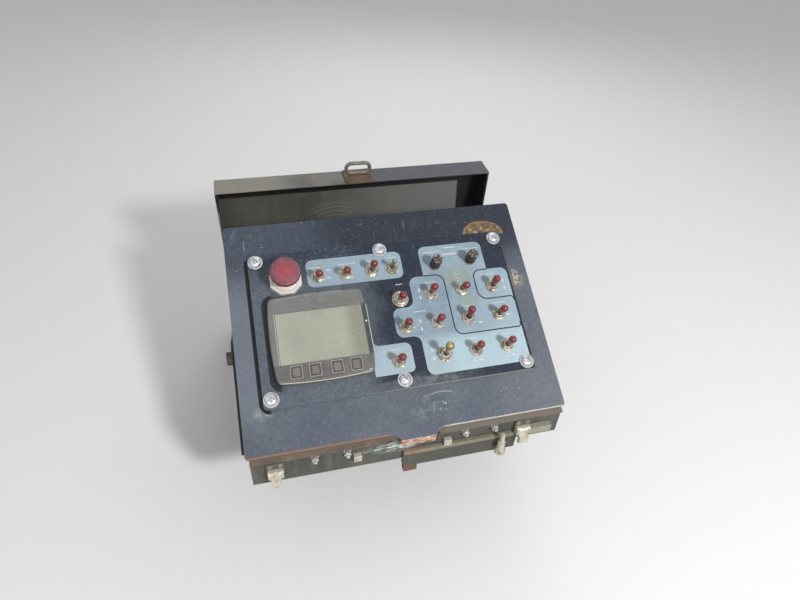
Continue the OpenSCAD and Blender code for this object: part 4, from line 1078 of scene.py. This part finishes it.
def display_outline(grow, bow=3.2):
    """A rounded rectangle whose sides bow out by a flat arc."""
    w, l, r = DISP_W / 2 + grow, DISP_L / 2 + grow, 7.0 + max(grow, -5.5)
    pts = rounded_path([(w, -l, r), (w, l, r), (-w, l, r), (-w, -l, r)], 9.0)
    d = np.linalg.norm(np.roll(pts, -1, 0) - pts, axis=1)
    s = np.r_[0, np.cumsum(d)]
    u = np.linspace(0, s[-1], OUTLINE_N, endpoint=False)
    loop = np.r_[pts, pts[:1]]
    q = np.stack([np.interp(u, s, loop[:, 0]), np.interp(u, s, loop[:, 1])], 1)
    q[:, 0] -= np.sign(q[:, 0]) * bow * (np.abs(q[:, 0]) / w) ** 6 * (q[:, 1] / l) ** 2
    q[:, 1] -= np.sign(q[:, 1]) * bow * (np.abs(q[:, 1]) / l) ** 6 * (q[:, 0] / w) ** 2
    return q


def display_paint():
    """Smoked plastic: dusty top, dark flanks, a painted highlight under the front bevel."""
    f = Finish("smoked_display_plastic", 0.3, 0, 0.5, 0.4, 0.12)
    mm = f.face_mm()
    x, y, z = f.split(mm)
    f.tones(f.noise(60, 5, 0.6).ramp(0.3, 0.7), (108, 109, 107), (124, 125, 122))
    dust = f.noise(300, 5, 0.7).ramp(0.46, 0.76)
    f.lay(dust * 0.3, 150, 150, 146)
    lines = f.scratches(1.2, 0.73, 0.7)
    f.lay(lines * 0.2, 170, 171, 168)
    strip = x.ramp(-37, -35.6) * x.ramp(-30.6, -31.6) * y.ramp(90, 96) * y.ramp(158, 152)
    f.lay(strip * 0.95, 52, 60, 62)
    flank = z.ramp(PANEL_TOP + DISP_H - 0.7, PANEL_TOP + DISP_H - 2.2)
    f.lay(flank, f.mix(f.noise(120, 4).ramp(0.4, 0.6), (66, 62, 58), (96, 86, 76)))
    keys = y.ramp(DISP_Y - 30, DISP_Y - 31.5) * 0.75
    f.lay(keys, f.mix(f.noise(60, 5).ramp(0.35, 0.65), (88, 84, 82), (106, 101, 98)))
    # the front bevel: olive-brown above, a thin painted highlight below, for its lit front side
    front = y.ramp(DISP_Y - DISP_L / 2 + 4, DISP_Y - DISP_L / 2 + 2.4)
    rim = PANEL_TOP + DISP_H
    f.lay(front * z.ramp(rim - 0.1, rim - 0.4) * 0.9, 92, 86, 72)
    low = front * z.ramp(rim - 2.9, rim - 2.3) * z.ramp(rim - 0.9, rim - 1.2)
    f.lay(low * 0.95, 222, 219, 208)
    f.done(0.22 + dust * 0.3, f.noise(500, 2), 0.1, 0.06)
    return f


def make_screen():
    """Grey-green field in a paler frame, a pale strip to its left, thin painted highlights along
    its edges.
    """
    g = Finish("grey_green_screen", 0.34, 0, 0.5, 0.5, 0.15)
    gm = g.face_mm()
    g.tones(g.noise(26, 5, 0.6).ramp(0.3, 0.7), (154, 157, 142), (170, 172, 157))
    sx = g.split(gm)[0]
    g.lay(sx.ramp(-64, -44) * 0.85, 130, 129, 114)
    g.lay(sx.ramp(-112, -134) * 0.5, 178, 179, 164)
    grain = g.noise(520, 3, 0.6)
    g.lay(grain.ramp(0.4, 0.75) * 0.35, 186, 188, 172)
    g.done(0.28 + grain * 0.2, grain, 0.08, 0.05)
    cx, cy = DISP_X + 1.0, DISP_Y - 0.2
    zt = PANEL_TOP + DISP_H - 0.5
    back = zt - 0.3
    screen_o = rounded_path(rect(cx - 49.3, cy - 30, cx + 49.3, cy + 30, 1))
    screen = plate(screen_o, back, zt + 0.35)
    face_piece("display_screen", screen, g, "display_glass", smooth=False)
    pale = plastic("pale_display_strip", (114, 119, 112), (132, 136, 128), 0.35, 0.2)
    frame_o = rounded_path(rect(cx - 50.2, cy - 31, cx + 50.2, cy + 31, 1.5))
    strip_o = rounded_path([(cx - 56.8, cy - 28.5, 1), (cx - 51.0, cy - 28.5, 1),
                            (cx - 51.0, cy + 30.5, 1), (cx - 56.2, cy + 30.5, 1)])
    strips = joined(plate(frame_o, back, zt + 0.2), plate(strip_o, back, zt + 0.12))
    face_piece("display_strips", strips, pale, "display_housing", smooth=False, replaces=False)
    # thin painted highlights beside the screen: left along the strip, right along the rim
    shine = plastic("display_edge_highlight", (206, 208, 200), (170, 172, 164), 0.3, 0.2)
    edges = joined(plate(rect(cx - 51.0, cy - 30, cx - 50.3, cy + 30), back, zt + 0.42),
                   plate(rect(cx + 55.2, cy - 30, cx + 56.0, cy + 30), zt, zt + 0.62))
    face_piece("display_edges", edges, shine, "display_housing", smooth=False, replaces=False)


def make_keys():
    """Four raised frames round shallow pads."""
    key = Finish("dark_key", 0.42, 0, 0.5, 0.1)
    raised = key.split(key.face_mm())[2]
    pad = key.mix(key.noise(90, 4).ramp(0.35, 0.65), (80, 76, 74), (102, 98, 95))
    wall = raised.ramp(PANEL_TOP + DISP_H + 0.02, PANEL_TOP + DISP_H + 0.28)
    pad = key.mix(raised.ramp(PANEL_TOP + DISP_H + 0.11, PANEL_TOP + DISP_H + 0.04) * 0.6, pad,
                  (52, 49, 48))
    key.colour(key.mix(wall, pad, (156, 152, 144)))
    key.bump(key.noise(900, 2), 0.1, 0.05, 0.2)
    units = []
    for kx in (-32.6, -11.7, 13.0, 34.4):
        def square(h, z):
            """A key's rounded outline, inset by h at the height z."""
            o = rounded_path(rect(-7 + h, -7.8 + h, 7 - h, 7.8 - h, 1.2))
            at = (DISP_X + kx, DISP_Y - 40.0)
            return np.c_[o + at, np.full(len(o), PANEL_TOP + DISP_H + z)]

        units.append(lofted([square(h, z) for h, z in KEY_STEPS]))
    face_piece("display_keys", joined(*units), key, "soft_keys", 25)


class SCREEDBOX_OT_display(bpy.types.Operator):
    """Smoked display housing with bowed sides, its grey-green screen and four keys"""
    bl_idname = "screedbox.display"
    bl_label = "Display"

    def execute(self, context):
        steps = ((0.0, 0.0), (0.0, DISP_H - 2.4), (-0.4, DISP_H - 1.3), (-1.2, DISP_H - 0.4),
                 (-2.4, DISP_H), (-3.6, DISP_H), (-4.2, DISP_H - 0.5), (-5.0, DISP_H - 0.5))
        rings = [np.c_[display_outline(g) + (DISP_X, DISP_Y), np.full(OUTLINE_N, PANEL_TOP + z)]
                 for g, z in steps]
        f = display_paint()
        face_piece("display_case", lofted(rings), f, "display_housing", 50)

        make_screen()
        make_keys()
        dress(plastic("lamp_lens", (214, 220, 210), (180, 184, 172), 0.2, 0.5), "display_lamp")
        return {"FINISHED"}


def paint_cover(inside):
    """Olive-grey guard cover: dusty and rubbed inside, with painted light and painted shadow there,
    sandy streaks on its flange, with painted light and shade on it.
    """
    rim = float(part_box("cover_pan")[1][2]) * 1000
    f = Finish("olive_cover_paint", 0.5, 0, 0.3)
    mm = f.world_mm()
    x, y, z = f.split(mm)
    f.tones(f.noise(11, 5, 0.6).ramp(0.3, 0.7), inside, (76, 76, 70))
    wipe = f.noise(1, 4, 0.6, f.mapped((70, 70, 10))).ramp(0.42, 0.74)
    f.lay(wipe * 0.35, 112, 110, 100)
    grit = f.noise(280, 5, 0.7)
    f.lay(grit.ramp(0.48, 0.78) * 0.35, 140, 134, 118)
    inner = (y + z * 0.18).ramp(276.6, 276)
    # painted light: the inside of the cover lighter towards the right
    f.lay(inner * x.ramp(-90, 90) * 0.75, 134, 135, 132)
    # three thin rubbed arcs, 8 mm apart, low in the middle of the inner face only
    d = f.length(f.mapped((1, 0, 1), (0, 0, 0), (26, 0, -80), mm))
    waves = f.math("SINE", d * 0.785 + -3.51)
    zone = (f.blob(mm, (-24, 250, 139), (34, 60, 17), 0.35) * inner
            * f.noise(70, 4, 0.6).ramp(0.3, 0.5))
    f.lay(waves.ramp(0.86, 0.99) * zone * 0.7, 164, 163, 156)
    f.lay(zone * 0.25, 120, 119, 112)
    # painted shadow under the flange and in the right-hand corner of the inside, the shade the
    # flange and the right side wall cast
    painted_cover_shadow = inner * f.most(z.ramp(172.6, 174.6), (x + z * 0.12).ramp(178.4, 180.4))
    f.lay(painted_cover_shadow * 0.93, 15, 15, 16)
    # the front flange, on top of the open cover: olive with sandy streaks, with painted light at
    # its left end and painted shade at the right
    top = z.ramp(rim - 5, rim - 2)
    sandy = f.mix(f.noise(24, 5, 0.65).ramp(0.35, 0.65), (98, 98, 95), (120, 119, 114))
    # painted light: the flange's left end lighter
    end = (x + (f.noise(16) - 0.5) * 60).ramp(-80, -130)
    sandy = f.mix(end * 0.85, sandy, (150, 146, 134))
    tan = f.noise(1, 5, 0.7, f.mapped((60, 14, 14))).ramp(0.54, 0.68)
    sandy = f.mix(tan * 0.55, sandy, (144, 128, 106))
    # painted shade: the flange's right part darker, slate-blue
    slate = (x + f.noise(20) * 30).ramp(22, 40)
    sandy = f.mix(slate * 0.85, sandy, (66, 70, 82))
    f.lay(top * 0.95, sandy)
    worn = f.edge(0.9) * f.noise(90, 4, 0.7).ramp(0.3, 0.55) * 0.7
    f.lay(worn, 166, 164, 156)
    f.done(0.4 + grit * 0.25, f.noise(320, 3) + grit * 0.5, 0.25, 0.14, 0.8)
    dress(f, "cover_pan")


def make_eye():
    """A round bar bent to a closed oval: its path is a stadium about the eye's centre and the bar a
    circle in the plane of the path's outward direction and the loop's own axis."""
    half_w, half_h, bar = 16.4, 7.4, 2.55
    path = rounded_path(rect(-half_w, -half_h, half_w, half_h, half_h), 9.0)
    tangent = np.roll(path, -1, 0) - np.roll(path, 1, 0)
    tangent /= np.linalg.norm(tangent, axis=1)[:, None]
    outward = np.stack([tangent[:, 1], -tangent[:, 0]], 1)
    a = np.linspace(0, 2 * np.pi, 20, endpoint=False)
    up, axis = np.array([0, -EYE_SIN, EYE_COS]), np.array([0, EYE_COS, EYE_SIN])
    across = np.array([1.0, 0, 0])
    ring = path[:, None, :] + bar * np.cos(a)[None, :, None] * outward[:, None, :]
    tube = (np.array(EYE_AT) + ring[..., :1] * across + ring[..., 1:] * up
            + bar * np.sin(a)[None, :, None] * axis)
    n, m = len(path), len(a)
    i, j = np.meshgrid(np.arange(n), np.arange(m), indexing="ij")
    here, beyond, right = i * m, (i + 1) % n * m, (j + 1) % m
    loops = np.stack([here + j, here + right, beyond + right, beyond + j], -1)
    eye = zinc("worn_eye_steel", (122, 120, 114), (92, 78, 62), 0.46, 0.6, 0, 0.4)
    ob = mesh_piece("padlock_eye_loop", tube.reshape(-1, 3) * MM, loops.reshape(-1, 4).tolist(),
                    eye.mat, "cover")
    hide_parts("lock_eye")


class SCREEDBOX_OT_cover(bpy.types.Operator):
    """Finishes the guard cover, its arms and bolts, and forms the padlock eye"""
    bl_idname = "screedbox.cover"
    bl_label = "Guard cover"

    def execute(self, context):
        p = context.scene.screedbox_paint
        paint_cover(tuple(p.cover))
        arm = weathered_paint("dark_arm_paint", (66, 68, 70), (48, 50, 52), (110, 104, 94), 0.5,
                              0.35, 0.5, (140, 118, 96), 0.7)
        dress(arm, "cover_arms", "pivot_spacers")
        steel = zinc("dull_bolt_steel", (104, 100, 94), (74, 62, 50), 0.5, 0.6, 0.3, 0.5)
        dress(steel, "arm_bolts", "pivot_bolts", "pivot_nuts", "stop_pins")

        # base strip of the eye: rusty plate
        r = Finish("rusty_eye_base", 0.7)
        rb = r.mix(r.noise(60, 5, 0.7).ramp(0.35, 0.65), (92, 76, 62), (128, 104, 84))
        rb = r.mix(r.noise(300, 4, 0.7).ramp(0.5, 0.75) * 0.5, rb, (156, 134, 110))
        r.colour(rb)
        r.bump(r.noise(420, 4, 0.7), 0.4, 0.2, 0.5)
        dress(r, "lock_base")

        make_eye()
        return {"FINISHED"}


class SCREEDBOX_OT_cable(bpy.types.Operator):
    """Finishes the cable gland in the underside"""
    bl_idname = "screedbox.cable"
    bl_label = "Cable gland"

    def execute(self, context):
        black = plastic("black_nylon", (32, 32, 34), (78, 76, 72), 0.42, 0, 0.4)
        dress(black, "cable_gland", "gland_nut")
        return {"FINISHED"}


def make_floor(scene, height):
    """One pale sheet, white to the camera, a little greyer to other rays."""
    corners = np.c_[rect(-FLOOR_HALF, -FLOOR_HALF, FLOOR_HALF, FLOOR_HALF), np.full(4, height)]
    mesh = bpy.data.meshes.new("floor")
    mesh.from_pydata(corners.tolist(), [], [[0, 1, 2, 3]])
    floor = bpy.data.objects.new("floor", mesh)
    scene.collection.objects.link(floor)
    mat = bpy.data.materials.new("pale_floor")
    mat.use_nodes = True
    tree = Shader(mat.node_tree)
    bsdf = mat.node_tree.nodes["Principled BSDF"].inputs
    bsdf["Roughness"].default_value = 0.9
    seen = {"Value": tree.ray("Camera"), "To Min": 0.8, "To Max": 1.0}
    tree.put(bsdf["Base Color"], tree.node("MapRange", "Result", seen))
    mesh.materials.append(mat)


def make_room(scene, fill):
    """White to the camera and in reflections, an even weaker light on the surfaces."""
    world = bpy.data.worlds.new("studio")
    world.use_nodes = True
    scene.world = world
    tree = Shader(world.node_tree)
    sky = world.node_tree.nodes["Background"].inputs
    sky["Color"].default_value = (1, 1, 1, 1)
    seen = tree.most(tree.ray("Camera"), tree.ray("Glossy"))
    seen = tree.most(seen, tree.ray("Transmission"))
    level = tree.node("MapRange", "Result", {"Value": seen, "To Min": fill, "To Max": 1.0})
    tree.put(sky["Strength"], level)


def make_lamps(scene, power):
    """Soft round lamps, each with its share of the power."""
    for name, direction, distance, size, share in LAMPS:
        d = Vector(direction).normalized()
        light = bpy.data.lights.new(name, "AREA")
        light.shape = "DISK"
        light.size = size
        light.energy = power * share
        ob = bpy.data.objects.new(name, light)
        ob.location = Vector(LAMPS_AIM) + d * distance
        ob.rotation_euler = (-d).to_track_quat("-Z", "Y").to_euler()
        scene.collection.objects.link(ob)


def make_camera(scene):
    """The photograph's camera."""
    cam = bpy.data.cameras.new("photo_camera")
    cam.sensor_fit = "HORIZONTAL"
    cam.sensor_width = SENSOR_MM
    cam.lens = FOCAL_PX / IMAGE_PX * SENSOR_MM
    cam.clip_start = 0.01
    ob = bpy.data.objects.new("photo_camera", cam)
    ob.matrix_world = Matrix(CAMERA)
    scene.collection.objects.link(ob)
    scene.camera = ob


class SCREEDBOX_OT_stage(bpy.types.Operator):
    """Pale floor, soft light and the camera of the photograph's viewing angle"""
    bl_idname = "screedbox.stage"
    bl_label = "Stage"

    def execute(self, context):
        s = context.scene.screedbox_stage
        scene = context.scene
        make_floor(scene, s.floor)
        make_room(scene, s.fill)
        make_lamps(scene, s.key)
        make_camera(scene)
        scene.view_settings.view_transform = "Standard"
        return {"FINISHED"}


class SCREEDBOX_PT_sidebar(bpy.types.Panel):
    """Lists the pieces of the control box and their settings"""
    bl_label = "Screed control box"
    bl_idname = "SCREEDBOX_PT_sidebar"
    bl_space_type = "VIEW_3D"
    bl_region_type = "UI"
    bl_category = "Control Box"

    def draw(self, context):
        scene = context.scene
        for group in (scene.screedbox_paint, scene.screedbox_toggle, scene.screedbox_stage):
            column = self.layout.column(align=True)
            for key in group.__annotations__:
                column.prop(group, key)
        column = self.layout.column(align=True)
        for op in OPERATORS:
            column.operator(op.bl_idname)


OPERATORS = (SCREEDBOX_OT_stage, SCREEDBOX_OT_case, SCREEDBOX_OT_front_hardware, SCREEDBOX_OT_panel,
             SCREEDBOX_OT_panel_screws, SCREEDBOX_OT_toggles, SCREEDBOX_OT_knobs,
             SCREEDBOX_OT_stop_button, SCREEDBOX_OT_display, SCREEDBOX_OT_cover, SCREEDBOX_OT_cable)
CLASSES = (ScreedBoxPaint, ScreedBoxToggle, ScreedBoxStage, *OPERATORS, SCREEDBOX_PT_sidebar)


def register():
    for cls in CLASSES:
        bpy.utils.register_class(cls)
    bpy.types.Scene.screedbox_paint = PointerProperty(type=ScreedBoxPaint)
    bpy.types.Scene.screedbox_toggle = PointerProperty(type=ScreedBoxToggle)
    bpy.types.Scene.screedbox_stage = PointerProperty(type=ScreedBoxStage)


def unregister():
    del bpy.types.Scene.screedbox_stage
    del bpy.types.Scene.screedbox_toggle
    del bpy.types.Scene.screedbox_paint
    for cls in reversed(CLASSES):
        bpy.utils.unregister_class(cls)


def main():
    register()
    bpy.ops.screedbox.stage()
    bpy.ops.screedbox.case()
    bpy.ops.screedbox.front_hardware()
    bpy.ops.screedbox.panel()
    bpy.ops.screedbox.panel_screws()
    bpy.ops.screedbox.toggles()
    bpy.ops.screedbox.knobs()
    bpy.ops.screedbox.stop_button()
    bpy.ops.screedbox.display()
    bpy.ops.screedbox.cover()
    bpy.ops.screedbox.cable()
    bpy.context.view_layer.update()


if __name__ == "__main__":
    main()
